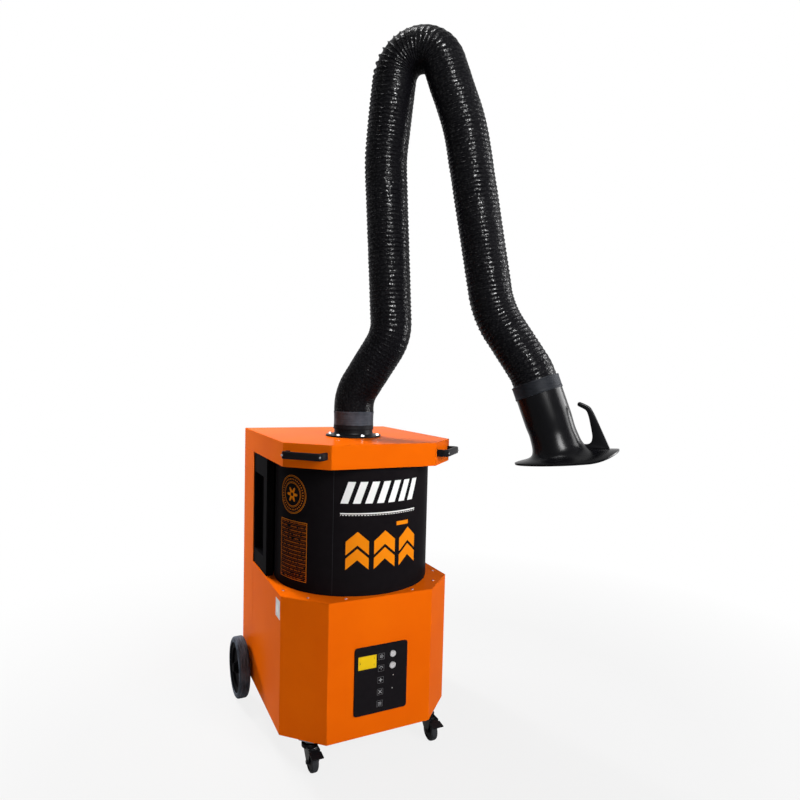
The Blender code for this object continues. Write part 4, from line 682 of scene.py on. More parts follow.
def buildCabinet():
    # width and finish of the rounded folds, their steps, and the least face that counts
    folds = {"base_shell": (0.0030, "orangeCoat", 4, 3e-3),
             "rear_column": (0.0030, "orangeCoat", 4, 3e-3),
             "lid_shell": (0.0030, "orangeCoat", 4, 3e-3),
             "grip_box_left": (0.0022, "gripPlastic", 4, 1e-4),
             "grip_box_right": (0.0022, "gripPlastic", 4, 1e-4),
             "outlet_grille": (0.0004, "blackEnamel", 2, 1e-4)}
    for node, fold in folds.items():
        softCopy(node, *fold)
    print("cabinet done")


def buildDrum():
    # a rolled sheet: a thin ring whose edges are rounded over
    r, w, low, high = drum["radius"], drum["wall"], drum["bottom"], drum["top"]
    ring = soften([(r, high), (r, low), (r - w, low), (r - w, high)], drum["rim"], 4)
    lathe("drum_sheet", ring, (*drum["centre"][:2], 0), (0, 0, 1), "drumWrap", "filter_drum",
          steps=drum["steps"])
    print("drum done")


buildCabinet()
buildDrum()


# Panel and buttons.

def buildPanel():
    plate = {"corner": 0.002, "thick": 0.0007, "edge": 0.0003, "sink": 0.0002}
    lamps = {"at": ((0.0465, 0.3095), (0.0435, 0.262)), "radius": 0.0015, "height": 0.0008,
             "sink": 0.0006}
    # a cap's profile: (share of its radius, depth in from its front), then its stem
    cap = {"profile": ((0, 0.0012), (0.55, 0.0010), (0.80, 0.0002), (0.9, 0), (0.985, 0.0006),
                       (1, 0.0016), (1, 0.0085)), "stem": 0.005, "round": 0.0008}
    bezel = {"in": 0.0006, "out": 0.0024, "proud": (0.0012, 0.0008), "sink": 0.0004}
    face = panel["face"]
    softCopy("control_panel", 0.0008, "panelFace", 3, 2e-5, "panel_film")

    # the yellow plate: rounded oblong rings from back to front
    (wide, tall), edge, thick = panel["plate"], plate["edge"], plate["thick"]
    outline = roundedBox(wide, tall, plate["corner"], 6)
    inner = roundedBox(wide - 2 * edge, tall - 2 * edge, plate["corner"] - edge, 6)
    verts = np.concatenate([
        np.column_stack([plateX + ring[:, 0], np.full(len(ring), face + plate["sink"] - depth),
                         plateZ + ring[:, 1]])
        for ring, depth in ((outline, 0.0), (outline, thick - edge), (inner, thick))])
    n = len(outline)
    piece("yellow_plate", verts, outward(verts, gridFaces(3, n), endCaps(3, n)), "yellowPlate",
          body="cabinet")

    spots = [(place(x, 0, z)[0], face, z) for x, z in lamps["at"]]
    fasten("panel_lamps", spots, (0, -1, 0), lamps["radius"], lamps["height"], lamps["sink"], 16,
           "paleLabel")
    for node in ("button_start", "button_stop"):
        low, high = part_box(node)
        mid = middle(node)
        radius, deep, stem = (high.x - low.x) / 2, high.y - low.y, cap["stem"]
        # a dished cap with a rounded brim, then its stem
        profile = [(radius * share, deep - down) for share, down in cap["profile"]]
        profile += [(stem, profile[-1][1]), (stem, 0), (0, 0)]
        lathe(node + "_cap", soften(profile, cap["round"], 3, False), (mid[0], high.y, mid[2]),
              (0, -1, 0), node + "_face", node, steps=48, closed=False)
        near, far = radius + bezel["in"], radius + bezel["out"]
        ring = soften([(near, bezel["proud"][0]), (far, bezel["proud"][1]),
                       (far, -bezel["sink"]), (near, -bezel["sink"])], 0.0004, 3)
        lathe(node + "_bezel", ring, (mid[0], face, mid[2]), (0, -1, 0), "blackPlastic",
              body="cabinet", steps=48)
    print("panel done")


buildPanel()


# Handles.

def buildHandles():
    # bows that stand on the lid's chamfers
    bow = {"length": 0.158, "reach": 0.044, "bar": 0.015, "post": 0.016, "height": 0.025,
           "corner": 0.012, "edge": 0.0042, "screw": 0.0036, "head": 0.0007, "sink": 0.0006,
           "inset": 0.0002}
    half, deep = bow["length"] / 2 - bow["post"] / 2, bow["reach"] - bow["bar"] / 2
    flatPath = soften([(-half, 0.0), (-half, deep), (half, deep), (half, 0.0)],
                      [0, bow["corner"], bow["corner"], 0], 8, False)
    section = roundedBox(bow["bar"], bow["height"], bow["edge"], 5)
    for node, hand in (("handle_left", -1), ("handle_right", 1)):
        out = unit((hand, -1, 0))
        along = unit((hand, 1, 0)) * hand
        foot = middle(node) - out * (bow["reach"] / 2)
        path = foot + flatPath[:, :1] * along + flatPath[:, 1:] * out
        sweep(node + "_bow", path, np.array([0, 0, 1.0]), section, "blackPlastic", node)
        heads = [foot + along * s * half + out * (bow["reach"] - bow["inset"]) for s in (-1, 1)]
        fasten(node + "_screws", heads, out, bow["screw"], bow["head"], bow["sink"], 20,
               "darkSteel")
    print("handles done")


buildHandles()


# Flange and cuffs.

def buildFlange():
    # a plate with a neck, and six bolts on washers; radii round the profile's corners in turn
    ring = {"radius": 0.107, "plate": 0.006, "neck": 0.0745, "bore": 0.0705, "rise": 0.028,
            "gap": 0.0003, "radii": (0.001, 0.001, 0.012, 0.0016, 0.0006, 0, 0.001, 0.001)}
    bolts = {"circle": 0.092, "count": 6, "washer": (0.00828, 0.0012, 0.0008),
             "head": (0.00612, 0.0058, 0.0004), "lift": 0.001}
    mid = middle("lid_flange")
    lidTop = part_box("lid_shell")[1].z + ring["gap"]
    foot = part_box("lid_flange")[0].z - lidTop
    profile = [(ring["bore"], ring["rise"]), (ring["neck"], ring["rise"]),
               (ring["neck"], ring["plate"]), (ring["radius"], ring["plate"]),
               (ring["radius"], 0), (ring["neck"], 0), (ring["neck"], foot),
               (ring["bore"], foot)]
    lathe("flange_ring", soften(profile, ring["radii"], 6), (mid[0], mid[1], lidTop), (0, 0, 1),
          "blackEnamel", "lid_flange", steps=120)
    angle = 2 * np.pi * (np.arange(bolts["count"]) + 0.5) / bolts["count"]
    spots = np.column_stack([mid[0] + bolts["circle"] * np.cos(angle),
                             mid[1] + bolts["circle"] * np.sin(angle),
                             np.full(len(angle), lidTop + ring["plate"])])
    fasten("flange_washers", spots, (0, 0, 1), *bolts["washer"], 24, "zinc")
    fasten("flange_bolts", spots + [0, 0, bolts["lift"]], (0, 0, 1), *bolts["head"], 6, "zinc")


def sleeveProfile(tall, radius, bore, lips, rows, waist=0.0):
    # a soft sleeve: a lip swells by rise x bell of the height, the middle draws in by a waist
    z = np.linspace(0, tall, rows)
    skin = radius - waist * np.sin(np.pi * z / tall) ** 2
    for rise, at, width in lips:
        skin = skin + rise * bell(z, at, width)
    return np.concatenate([np.column_stack([skin, z]), [(bore, tall), (bore, 0)]])


def buildLowerCuff():
    cuff = {"inset": 0.0008, "wall": 0.0030, "lip": (0.0011, 0.003, 0.0022), "waist": 0.0009}
    low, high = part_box("lower_cuff")
    mid = middle("lower_cuff")
    outer, tall = (high.x - low.x) / 2, high.z - low.z
    rise, at, width = cuff["lip"]
    profile = sleeveProfile(tall, outer - cuff["inset"], outer - cuff["wall"],
                            ((rise, at, width), (rise, tall - at, width)), 24, cuff["waist"])
    lathe("lower_cuff_sleeve", profile, (mid[0], mid[1], low.z), (0, 0, 1), "greyRubber",
          "lower_cuff", steps=128)


buildFlange()
buildLowerCuff()
print("flange and cuff done")


# Hose. A turn of the route is (degrees, radius, the straight run after it).

hose = {"crest": 0.0795, "ridge": 0.0017, "comb": 0.0064, "bore": 0.0685, "pitch": 0.016,
        "margin": 0.032, "perRib": 11, "around": 144, "sharp": 0.085, "crease": 0.0014,
        "wide": 0.0010, "sag": 0.0009, "smooth": 0.13, "footDrop": 0.0014, "lift": 0.0004,
        "calm": 0.42, "seed": 7, "cells": 96, "creaseCell": 0.0052, "wideCell": 0.021,
        "slowCell": 0.060, "combFrom": (1.04, 0.11), "combTo": (1.385, 0.02), "flat": 0.85,
        "flatBack": (1.61, 0.19), "flatFront": (1.20, 0.16), "shoulder": 0.270,
        "hoodPivot": 0.062}
route = {"rise": 0.015, "lift": 0.0003,
         "turns": ((33, 0.160, 0.171), (-36.5, 0.170, 0.547), (9.5, 0.600, 0.256),
                   (154, 0.098, 0.176), (9.5, 0.800, 0.536), (-24, 0.350, 0.158),
                   (13.7, 0.200, 0.012))}
runs = [(route["rise"], 0.0)]
for degrees, radius, straight in route["turns"]:
    runs += [(abs(math.radians(degrees)) * radius, math.radians(degrees)), (straight, 0.0)]
runStarts = np.concatenate([[0], np.cumsum([length for length, turn in runs])])
routeLength = runStarts[-1]
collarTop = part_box("swivel_collar")[1].z
armFoot = np.array([*middle("swivel_collar")[:2], collarTop + route["lift"]])
armWay = unit((1, -1, 0))
armSide = np.cross((0, 0, 1), armWay)


def routeAt(distance):
    # straight runs go on along the heading; a turn of radius r moves by
    # r (cos h - cos(h + a)) forward and r (sin(h + a) - sin h) up
    distance = np.asarray(distance, float)
    along, height, heading = (np.zeros_like(distance) for k in range(3))
    x, z, h = 0.0, 0.0, 0.0
    for k, (length, turn) in enumerate(runs):
        here = (distance >= runStarts[k]) | (k == 0)
        step = np.where(here, distance - runStarts[k], 0.0)
        if turn == 0.0:
            px, pz, ph = x + step * math.sin(h), z + step * math.cos(h), h + 0 * step
            x, z = x + length * math.sin(h), z + length * math.cos(h)
        else:
            r = length / turn
            ph, end = h + step / r, h + turn
            px, pz = x + r * (math.cos(h) - np.cos(ph)), z + r * (np.sin(ph) - math.sin(h))
            x, z = x + r * (math.cos(h) - math.cos(end)), z + r * (math.sin(end) - math.sin(h))
            h = end
        along, height, heading = (np.where(here, new, old) for new, old in
                                  ((px, along), (pz, height), (ph, heading)))
    return along, height, heading


def armPoint(distance):
    along, height, heading = routeAt(distance)
    return armFoot + along[..., None] * armWay + height[..., None] * np.array([0, 0, 1.0])


def ribHeight(u, v):
    # a wire ridge each pitch on a helix, and cloth that sags and creases between the ridges;
    # the ridges stand out like a comb outside the elbow's rise, lie flat outside its fall and
    # are calm near the base
    turns = u / hose["pitch"] + v / (2 * np.pi)
    phase = turns - np.floor(turns) - 0.5
    edge = np.exp(-(phase / hose["sharp"]) ** 2)
    back, front = (0.5 - 0.5 * np.cos(v)) ** 2, (0.5 + 0.5 * np.cos(v)) ** 2
    cells, seed = hose["cells"], hose["seed"]
    lattice = v * cells / (2 * np.pi)
    crease = latticeNoise(u, lattice, cells, seed, hose["creaseCell"]) - 0.5
    wide = latticeNoise(u, lattice / 4, cells // 4, seed + 1, hose["wideCell"]) - 0.5
    slow = latticeNoise(u, lattice / 16, cells // 16, seed + 2, hose["slowCell"])
    (rise, riseWidth), (fall, fallWidth) = hose["combFrom"], hose["combTo"]
    comb = (back * (1 + np.tanh((u - rise) / riseWidth)) * (1 - np.tanh((u - fall) / fallWidth))
            / 4)
    pressed = back * bell(u, *hose["flatBack"]) + front * bell(u, *hose["flatFront"])
    flat = 1 - hose["flat"] * np.clip(pressed, 0, 1)
    quiet, calm = (np.clip(u / hose[key], 0, 1) ** 2 for key in ("smooth", "calm"))
    ridge = hose["ridge"] * (0.45 + 1.1 * slow) * flat + hose["comb"] * comb
    sag = (hose["sag"] * np.cos(np.pi * phase) ** 2 - hose["sag"]) * (0.3 + 0.7 * calm)
    slack = (1 - edge) * (0.2 + 0.8 * quiet)
    crest = hose["crest"] - hose["footDrop"] * (1 - quiet) - hose["ridge"] + hose["lift"]
    return (crest + ridge * (0.10 + 0.90 * calm) * edge
            + slack * (sag + hose["crease"] * crease + hose["wide"] * wide))


def hosePiece(name, start, end, node, bodies, turnZone=None):
    # rings of ribHeight round the route outside, plain rings of the bore inside
    rows = max(24, int(round((end - start) / hose["pitch"] * hose["perRib"])))
    u, v = np.linspace(start, end, rows + 1), fullTurn(hose["around"])
    back = np.linspace(end, start, max(6, rows // 60))
    distance = np.concatenate([u, back])
    reach = np.concatenate([ribHeight(u[:, None], v[None, :]),
                            np.full((len(back), len(v)), hose["bore"])])
    heading = routeAt(distance)[2]
    normal = np.cos(heading)[:, None] * armWay - np.sin(heading)[:, None] * np.array([0, 0, 1.0])
    ring = np.cos(v)[None, :, None] * normal[:, None] + np.sin(v)[None, :, None] * armSide
    verts = (armPoint(distance)[:, None] + reach[..., None] * ring).reshape(-1, 3)
    faces = outward(verts, gridFaces(len(distance), len(v), closeRows=True))
    if turnZone is None:
        return piece(name, verts, faces, "hoseCloth", node, bodies, 60, merge=False)
    # laid out straight first, then moved onto the bent route
    laid = np.repeat(distance, len(v))
    straight = np.column_stack([np.tile(np.cos(v), len(distance)) * reach.ravel(),
                                np.tile(np.sin(v), len(distance)) * reach.ravel(), laid])
    thing = piece(name, straight, faces, "hoseCloth", body=False, sharp=60, merge=False)
    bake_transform(thing)
    thing.data.vertices.foreach_set("co", verts.astype(np.float32).ravel())
    thing.data.update()
    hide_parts(node)
    return thing


def buildHose():
    margin, pivot = hose["margin"], hose["hoodPivot"]
    baseEnd, hoodStart = runStarts[4] + margin, runStarts[11] - margin
    elbowStart, elbowEnd = runStarts[7] - margin, runStarts[8] + margin
    hosePiece("hose_base_cloth", 0.0, baseEnd, "hose_base_bend", ("arm_base", "lower_arm"),
              (hose["shoulder"] - (baseEnd - hose["shoulder"]), baseEnd))
    hosePiece("hose_lower_cloth", baseEnd, elbowStart, "hose_lower_run", "lower_arm")
    hosePiece("hose_elbow_cloth", elbowStart, elbowEnd, "hose_elbow_bend",
              ("lower_arm", "upper_arm"), (elbowStart, elbowEnd))
    hosePiece("hose_upper_cloth", elbowEnd, hoodStart, "hose_upper_run", "upper_arm")
    hosePiece("hose_hood_cloth", hoodStart, routeLength, "hose_hood_bend",
              ("upper_arm", "hood_mount"), (routeLength - 2 * pivot, routeLength))
    print("hose done, route", round(float(routeLength), 4))


buildHose()


# Hood.

hood = {"radius": 0.083, "wall": 0.003, "seat": 0.034, "collar": 0.05, "neckDrop": 0.095,
        "throat": 0.082, "throatDrop": 0.150, "throatSlope": -8.0, "flare": 0.098,
        "flareDrop": 0.2125, "flareShift": 0.002, "flareSlope": -8.5, "rimDrop": 0.2466,
        "rimShift": 0.014, "rimLength": 0.360, "rimWidth": 0.284, "rimSlope": -13.5,
        "swell": 0.22, "lift": 0.024, "liftStart": 0.45, "lip": 0.007, "edge": 0.003,
        "steps": 128, "cuff": 0.048, "cuffRadius": 0.086, "knuckle": 0.0745, "gap": 0.0003}
hoodHeading = float(routeAt(np.array([routeLength]))[2][0])
ductWay = armWay * math.sin(hoodHeading) + np.array([0, 0, math.cos(hoodHeading)])
hoodOut = np.cross(armSide, -ductWay)
if hoodOut @ armWay < 0:
    hoodOut = -hoodOut
cuffTop, hoodTop = armPoint(routeLength + np.array([1, 2]) * hood["gap"]
                            + np.array([0, hood["cuff"]]))


def fromHood(points):
    # the hood's own frame: x towards its hook, y along the hinge, z up its duct
    points = np.asarray(points, float)
    return (hoodTop + points[..., :1] * hoodOut + points[..., 1:2] * armSide
            - points[..., 2:] * ductWay)


def roundRing(drop, radius, shift=0.0, slope=0.0):
    # a circle tilted about the hinge direction
    a, s = fullTurn(hood["steps"]), math.radians(slope)
    return np.column_stack([shift + radius * np.cos(a) * math.cos(s), radius * np.sin(a),
                            radius * np.cos(a) * math.sin(s) - drop])


def rimRing(inset, below):
    # an egg: width swells and the edge lifts towards the front, tilted against the duct
    a, s = fullTurn(hood["steps"]), math.radians(hood["rimSlope"])
    f = np.cos(a)
    reach = (hood["rimLength"] / 2 - inset) * f
    width = (hood["rimWidth"] / 2 - inset) * np.sin(a) * (1 + hood["swell"] * f)
    rise = np.maximum(0, (f - hood["liftStart"]) / (1 - hood["liftStart"]))
    lift = hood["lift"] * rise * rise - below
    return np.column_stack([hood["rimShift"] + reach * math.cos(s) - lift * math.sin(s), width,
                            -hood["rimDrop"] + reach * math.sin(s) + lift * math.cos(s)])


def flowing(rings, steps):
    # a smooth path through the rings: cubic pieces whose slopes are those of the neighbours
    rings = np.asarray(rings, float)
    length = np.linalg.norm(np.diff(rings, axis=0), axis=2).mean(1)
    at = np.concatenate([[0], np.cumsum(length)])
    slope = np.gradient(rings, at, axis=0)
    slope[0] = (rings[1] - rings[0]) / length[0]
    out = []
    for k in range(len(rings) - 1):
        t = np.linspace(0, 1, steps[k], endpoint=False)[:, None, None]
        d = length[k]
        out.append((2 * t ** 3 - 3 * t ** 2 + 1) * rings[k]
                   + (t ** 3 - 2 * t ** 2 + t) * d * slope[k]
                   + (3 * t ** 2 - 2 * t ** 3) * rings[k + 1]
                   + (t ** 3 - t ** 2) * d * slope[k + 1])
    return np.concatenate(out + [rings[-1:]])


def drawnIn(outline, depth):
    # each point moves along the outline's inward normal
    ahead, behind = np.roll(outline, -1, 0), np.roll(outline, 1, 0)
    way = ahead - behind
    way /= np.linalg.norm(way, axis=1, keepdims=True) + 1e-12
    turn = np.sign(np.sum(outline[:, 0] * ahead[:, 1] - ahead[:, 0] * outline[:, 1]))
    return outline + depth * turn * np.column_stack([-way[:, 1], way[:, 0]])


def hookMesh():
    # a fin with rounded edges: its outline carried across, drawn in towards both faces.
    # Each corner is a share of reach and of drop, with its rounding
    fin = {"half": 0.0085, "reach": 0.194, "drop": 0.2466, "least": 2e-4,
           "edge": ((0, 0.0036), (0.0005, 0.0022), (0.0018, 0.0007), (0.0036, 0.0)),
           "corners": ((0.856, -1.030, 0.001), (0.822, -0.700, 0.02), (0.800, -0.500, 0.02),
                       (0.775, -0.400, 0.009), (0.700, -0.335, 0.01), (0.623, -0.283, 0.006),
                       (0.585, -0.292, 0.006), (0.569, -0.328, 0.006), (0.640, -0.385, 0.006),
                       (0.690, -0.432, 0.008), (0.692, -0.520, 0.02), (0.664, -0.690, 0.02),
                       (0.640, -0.803, 0.01), (0.600, -0.862, 0.01), (0.553, -0.886, 0.008),
                       (0.500, -0.880, 0.004), (0.430, -0.860, 0.001), (0.430, -0.930, 0.001),
                       (0.60, -1.005, 0.001), (0.75, -1.030, 0.001))}
    corners = np.array(fin["corners"])
    outline = soften(corners[:, :2] * [fin["reach"], fin["drop"]], corners[:, 2], 6)
    outline = outline[np.linalg.norm(outline - np.roll(outline, 1, 0), axis=1) > fin["least"]]
    steps = mirrored([(depth, across - fin["half"]) for across, depth in fin["edge"]])
    rings = []
    for depth, y in steps:
        ring = drawnIn(outline, depth)
        rings.append(np.column_stack([ring[:, 0], np.full(len(ring), y), ring[:, 1]]))
    verts = fromHood(np.concatenate(rings))
    # the outline's own triangles close both faces, turned the way that it runs
    flat = [tuple(t) for t in tessellate_polygon([[Vector((x, z, 0)) for x, z in outline]])]
    a, b, c = (outline[[t[k] for t in flat]] for k in range(3))
    side = np.sum((b - a)[:, 0] * (c - a)[:, 1] - (b - a)[:, 1] * (c - a)[:, 0])
    x, z = outline.T
    area = np.sum(x * np.roll(z, -1) - np.roll(x, -1) * z)
    flat = flat if side * area > 0 else [t[::-1] for t in flat]
    n = len(outline)
    last = n * (len(rings) - 1)
    caps = [t[::-1] for t in flat] + [tuple(k + last for k in t) for t in flat]
    return verts, outward(verts, gridFaces(len(rings), n), caps)


def buildHood():
    h = hood
    wall, edge, lip = h["wall"], h["edge"], h["lip"]
    inside, seat = h["radius"] - wall, h["knuckle"] + 0.0008
    outer = flowing([roundRing(0, h["radius"]), roundRing(h["collar"], h["radius"]),
                     roundRing(h["neckDrop"], h["radius"]),
                     roundRing(h["throatDrop"], h["throat"], 0, h["throatSlope"]),
                     roundRing(h["flareDrop"], h["flare"], h["flareShift"], h["flareSlope"]),
                     rimRing(0, 0)], [2, 4, 8, 10, 12])
    # the lip's rings: (inset, below)
    turned = [rimRing(*ring) for ring in
              ((0.0004, 0.001), (-0.0002, 0.003), (0.0002, lip - 0.001), (0.0012, lip),
               (edge, lip - 0.0003), (2 * edge, wall + 0.001))]
    inner = flowing([rimRing(2 * edge, wall),
                     roundRing(h["flareDrop"] + wall, h["flare"] - wall, h["flareShift"],
                               h["flareSlope"]),
                     roundRing(h["throatDrop"], h["throat"] - wall, 0, h["throatSlope"]),
                     roundRing(h["neckDrop"], inside), roundRing(h["collar"], inside),
                     roundRing(h["seat"], inside)], [12, 10, 8, 4, 2])
    neck = [roundRing(h["seat"], seat), roundRing(0, seat), roundRing(0, h["radius"] - 0.001)]
    rings = np.concatenate([outer, turned, inner, neck])
    verts = fromHood(rings.reshape(-1, 3))
    faces = outward(verts, gridFaces(len(rings), h["steps"], closeRows=True))
    hookVerts, hookFaces = hookMesh()
    faces = faces + [[i + len(verts) for i in f] for f in hookFaces]
    piece("hood_shell", np.concatenate([verts, hookVerts]), faces, "glossPlastic",
          "extraction_hood", sharp=50)

    # the grey sleeve between hose and hood
    cuff = {"inset": 0.0012, "clear": 0.0004, "foot": (0.0010, 0.0035, 0.0028),
            "top": (0.0012, 0.004, 0.003)}
    rise, at, width = cuff["top"]
    profile = sleeveProfile(h["cuff"], h["cuffRadius"] - cuff["inset"],
                            h["knuckle"] + cuff["clear"],
                            (cuff["foot"], (rise, h["cuff"] - at, width)), 26)
    lathe("hood_cuff_sleeve", profile, cuffTop, ductWay, "darkSleeve", "hood_cuff", steps=128)
    print("hood done")


buildHood()


# Wheels. A profile's points are (reach from the axle, depth in from the wall).

def buildRearWheels():
    # tyre: a dish, a flat rim, round shoulders and a tread with two shallow grooves
    tyre = {"half": 0.0225, "steps": 144,
            "profile": ((0.087, 0.0070), (0.1005, 0.0066), (0.1030, 0.0004), (0.1165, 0.0002),
                        (0.1246, 0.0060), (0.125, 0.0140), (0.1239, 0.0146),
                        (0.1239, 0.0158), (0.125, 0.0164)),
            "radii": [0.0005, 0.001, 0.002, 0.007, 0.005, 0.0005, 0.0005, 0.0005, 0.0005]}
    # hub: a thin dished web between rim and boss
    hub = {"seat": 0.0867, "lip": 0.080, "lipIn": 0.0070, "web": 0.007, "dish": 0.0015,
           "boss": 0.024, "bossHalf": 0.019, "bossRound": 0.002, "bore": 0.0103}
    cap = {"face": 0.72, "shoulder": 0.55, "bore": 0.0106, "deep": 0.0043,
           "radii": [0, 0.003, 0.003, 0.0005, 0, 0, 0]}
    profile = mirrored([(reach, tyre["half"] - deep) for reach, deep in tyre["profile"]])
    tyreRing = soften(profile, tyre["radii"] + tyre["radii"][::-1], 6)
    lip, boss, rim = hub["lip"], hub["boss"], tyre["half"] - hub["lipIn"]
    web = [(lip - (lip - boss) * t, hub["web"] + hub["dish"] * math.sin(math.pi * t))
           for t in np.linspace(0.04, 0.96, 14)]
    hubRing = mirrored([(hub["bore"], hub["bossHalf"]),
                        (boss - hub["bossRound"], hub["bossHalf"]),
                        (boss, hub["bossHalf"] - hub["bossRound"])]
                       + web[::-1] + [(lip, rim), (hub["seat"], rim)])
    for side, hand in (("left", -1), ("right", 1)):
        mid = middle("rear_tyre_" + side)
        lathe("tyre_" + side, tyreRing, mid, (hand, 0, 0), wheelRubberPaintedShadeAndSheen(side, mid),
              "rear_tyre_" + side, steps=tyre["steps"])
        lathe("hub_" + side, hubRing, mid, (hand, 0, 0), "gripPlastic", "rear_hub_" + side,
              steps=tyre["steps"])
        low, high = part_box("hub_cap_" + side)
        at = middle("hub_cap_" + side)
        long, radius = high.x - low.x, (high.z - low.z) / 2
        capRing = soften([(0, long), (radius * cap["face"], long),
                          (radius, long * cap["shoulder"]), (radius, 0), (cap["bore"], 0),
                          (cap["bore"], cap["deep"]), (0, cap["deep"])], cap["radii"], 5, False)
        lathe("wheel_cap_" + side, capRing, (low.x if hand > 0 else high.x, at[1], at[2]),
              (hand, 0, 0), "gripPlastic", "hub_cap_" + side, steps=64, closed=False)
    print("rear wheels done")


def buildCasters():
    roller = {"profile": ((0.0043, 0), (0.009, 0), (0.010, 0.002), (0.026, 0.0035),
                          (0.028, 0.0006), (0.031, 0.0004), (0.0315, 0.0012)),
              "shoulder": (0.0015, 0.0035), "tread": 0.009, "round": 0.0009}
    skirt = {"radius": 0.0288, "wall": 0.0016, "deep": 0.0128, "bore": 0.020, "roof": 0.001,
             "radii": [0.002, 0.0004, 0.0004, 0.0004, 0, 0]}
    for side in ("left", "right"):
        node = "caster_wheel_" + side
        low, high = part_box(node)
        mid = middle(node)
        r, w = (high.z - low.z) / 2, (high.x - low.x) / 2
        down, deep = roller["shoulder"]
        profile = [(reach, w - depth) for reach, depth in roller["profile"]]
        profile = mirrored(profile + [(r - down, w - deep), (r, w - roller["tread"])])
        lathe("roller_" + side, soften(profile, roller["round"], 4), mid, (1, 0, 0),
              casterRubber(side, mid), node)
        softCopy("caster_fork_" + side, 0.0007, "blackEnamel", 2, 2e-6)
        # the crown's rim is turned down over the wheel
        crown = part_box("caster_fork_" + side)[1].z
        pivot = (mid[0], middle("caster_plate_" + side)[1], crown)
        outer, foot, roof = skirt["radius"], -skirt["deep"], -skirt["roof"]
        inner = outer - skirt["wall"]
        rim = soften([(outer, 0), (outer, foot), (inner, foot), (inner, roof),
                      (skirt["bore"], roof), (skirt["bore"], 0)], skirt["radii"], 4)
        lathe("fork_skirt_" + side, rim, pivot, (0, 0, 1), "blackEnamel",
              body=bodyOf["caster_fork_" + side], steps=64)
        softCopy("caster_plate_" + side, 0.0006, "darkSteel", 2, 1e-5)
        softCopy("brake_pedal_" + side, 0.0010, "blackPlastic", 3, 5e-6)
    print("casters done")


buildRearWheels()
buildCasters()


# The plate's screws and the label.

def buildTrim():
    screw = {"radius": 0.0050, "height": 0.0021, "sink": 0.0005, "set": 0.0018,
             "inset": 0.024, "apart": 0.128, "back": 0.190}
    label = {"y": (-0.240, -0.183), "z": (0.512, 0.578), "proud": 0.0004, "corner": 0.002,
             "front": 0.995}
    softCopy("base_top_plate", 0.0004, "orangeCoat", 2, 3e-3)
    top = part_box("base_top_plate")[1].z - screw["set"]
    half, front, inset = cabinet["half"], -cabinet["depth"] / 2, screw["inset"]
    slant = cabinet["chamfer"] / 2 + inset / math.sqrt(2)
    spots = [(*place(hand * x, y, 0)[:2], top) for hand in (-1, 1)
             for x, y in ((screw["apart"], front + inset), (half - slant, front + slant),
                          (half - inset, front + screw["back"]))]
    fasten("plate_screws", spots, (0, 0, 1), screw["radius"], screw["height"], screw["sink"], 16,
           "darkSteel")

    # a blank sticker on the base's left side, a little smaller at its face
    (y0, y1), (z0, z1) = label["y"], label["z"]
    outline = roundedBox(y1 - y0, z1 - z0, label["corner"], 5)
    mid = place(-half, (y0 + y1) / 2, (z0 + z1) / 2)
    n = len(outline)
    verts = np.concatenate([
        np.column_stack([np.full(n, mid[0] + out), mid[1] + outline[:, 0] * size,
                         mid[2] + outline[:, 1] * size])
        for out, size in ((label["proud"], 1), (-label["proud"], label["front"]))])
    piece("blank_label", verts, outward(verts, gridFaces(2, n), endCaps(2, n)), "paleLabel",
          body="cabinet")
    print("screws and label done")


buildTrim()


# Stage, lights and camera.

def buildStage():
    look = {"white": 1.0, "floor": (0.34, 0.34, 0.34), "near": 1.2, "far": 2.6, "glow": 0.84,
            "fill": 0.14, "size": 14.0}
    size = look["size"]
    mesh = bpy.data.meshes.new("floor")
    mesh.from_pydata([(-size, -size, 0), (size, -size, 0), (size, size, 0), (-size, size, 0)], [],
                     [(0, 1, 2, 3)])
    floor = addObject("floor", mesh)

    def seen(tree, share):
        # 1 where a glossy or a transmitted ray looks, else the share
        for ray in ("Is Glossy Ray", "Is Transmission Ray"):
            other = addNode(tree, "LightPath").outputs[ray]
            share = addNode(tree, "Math", (share, other), operation="MAXIMUM").outputs[0]
        return share

    def blend(tree, share, first, second, kind):
        both = addNode(tree, "MixShader", {0: share, 1: first.outputs[0], 2: second.outputs[0]})
        tree.links.new(both.outputs[0], addNode(tree, kind).inputs["Surface"])

    # the floor glows white for the camera, less so near the object, and keeps its shadow
    paint = bpy.data.materials.new("floorWhite")
    paint.use_nodes = True
    tree = paint.node_tree
    tree.nodes.clear()
    coords = addNode(tree, "TexCoord").outputs["Object"]
    reach = addNode(tree, "VectorMath", (coords,), operation="LENGTH").outputs["Value"]
    fade = addNode(tree, "MapRange", {0: reach, 1: look["near"], 2: look["far"],
                                      3: look["glow"], 4: 1.0}).outputs[0]
    camera = addNode(tree, "LightPath").outputs["Is Camera Ray"]
    share = addNode(tree, "Math", (camera, fade), operation="MULTIPLY").outputs[0]
    plain = addNode(tree, "BsdfDiffuse", {"Color": look["floor"]})
    glow = addNode(tree, "Emission", {"Color": (1, 1, 1), "Strength": look["white"]})
    blend(tree, seen(tree, share), plain, glow, "OutputMaterial")
    floor.data.materials.append(paint)

    # the world: white where it is seen, a low fill elsewhere
    world = bpy.data.worlds.new("studio")
    bpy.context.scene.world = world
    world.use_nodes = True
    tree = world.node_tree
    tree.nodes.clear()
    fillLight, white = (addNode(tree, "Background", {"Color": (1, 1, 1), "Strength": look[key]})
                        for key in ("fill", "white"))
    camera = addNode(tree, "LightPath").outputs["Is Camera Ray"]
    blend(tree, seen(tree, camera), fillLight, white, "OutputWorld")


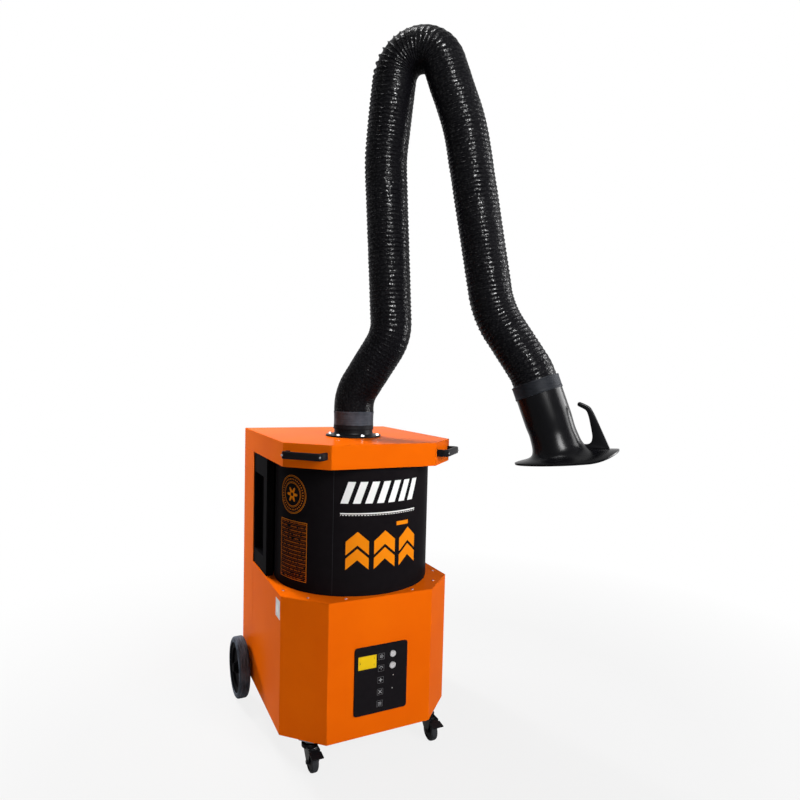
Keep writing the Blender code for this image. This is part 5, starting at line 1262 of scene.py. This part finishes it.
def lamp(name, spot, target, size, power, sheen=True, soak=True):
    # an area lamp; without sheen it gives no highlights, without soak nothing but highlights
    data = bpy.data.lights.new(name, "AREA")
    data.shape = "RECTANGLE"
    data.size, data.size_y = size
    data.energy = power
    thing = addObject(name, data)
    thing.location = spot
    thing.rotation_mode = "QUATERNION"
    thing.rotation_quaternion = (Vector(target) - Vector(spot)).to_track_quat("-Z", "Y")
    thing.visible_glossy, thing.visible_diffuse = sheen, soak


def buildLights():
    # spot, target, size in metres and power in watts
    lamp("key_right", (1.2, -3.9, 2.6), (-0.15, 0.1, 1.0), (1.5, 2.2), 200, sheen=False)
    lamp("left_rear", (-1.6, 5.1, 1.8), (-0.4, 0.2, 0.6), (0.4, 0.8), 420, sheen=False)
    lamp("top_back", (-0.7, 1.9, 3.1), (-0.2, 0.1, 1.1), (1.2, 0.8), 85, sheen=False)
    lamp("over_top", (-0.5, 0.5, 4.8), (0, 0, 2.0), (1.0, 1.0), 80, soak=False)
    lamp("right_sheen", (2.9, -1.2, 2.1), (0, 0, 1.8), (2.0, 3.0), 380, soak=False)
    lamp("hose_strip", (-0.95, -3.65, 3.6), (-0.1, 0, 2.3), (1.3, 2.4), 1020, soak=False)


def buildCamera():
    # focal length and middle are in pixels of a frame 800 across
    view = {"spot": (-0.8695, -2.3026, 1.3555), "focal": 610.8, "middle": (411.6, 416.0),
            "azimuth": 26.67, "pitch": 3.23, "roll": 1.48, "frame": 800, "sensor": 36.0}
    az, pitch, roll = (math.radians(view[k]) for k in ("azimuth", "pitch", "roll"))
    forward = Vector((math.sin(az) * math.cos(pitch), math.cos(az) * math.cos(pitch),
                      -math.sin(pitch)))
    right = Vector((math.cos(az), -math.sin(az), 0))
    up = right.cross(forward)
    r = math.cos(roll) * right + math.sin(roll) * up
    u = -math.sin(roll) * right + math.cos(roll) * up
    data = bpy.data.cameras.new("camera")
    data.sensor_width = view["sensor"]
    data.lens = view["sensor"] * view["focal"] / view["frame"]
    data.shift_x = (view["frame"] / 2 - view["middle"][0]) / view["frame"]
    data.shift_y = (view["middle"][1] - view["frame"] / 2) / view["frame"]
    data.clip_end = 60
    camera = addObject("camera", data)
    spot = place(*view["spot"])
    camera.matrix_world = Matrix([(r[k], u[k], -forward[k], spot[k]) for k in range(3)]
                                 + [(0, 0, 0, 1)])
    bpy.context.scene.camera = camera


buildStage()
buildLights()
buildCamera()
bpy.context.scene.view_settings.view_transform = "Standard"
print("stage done")
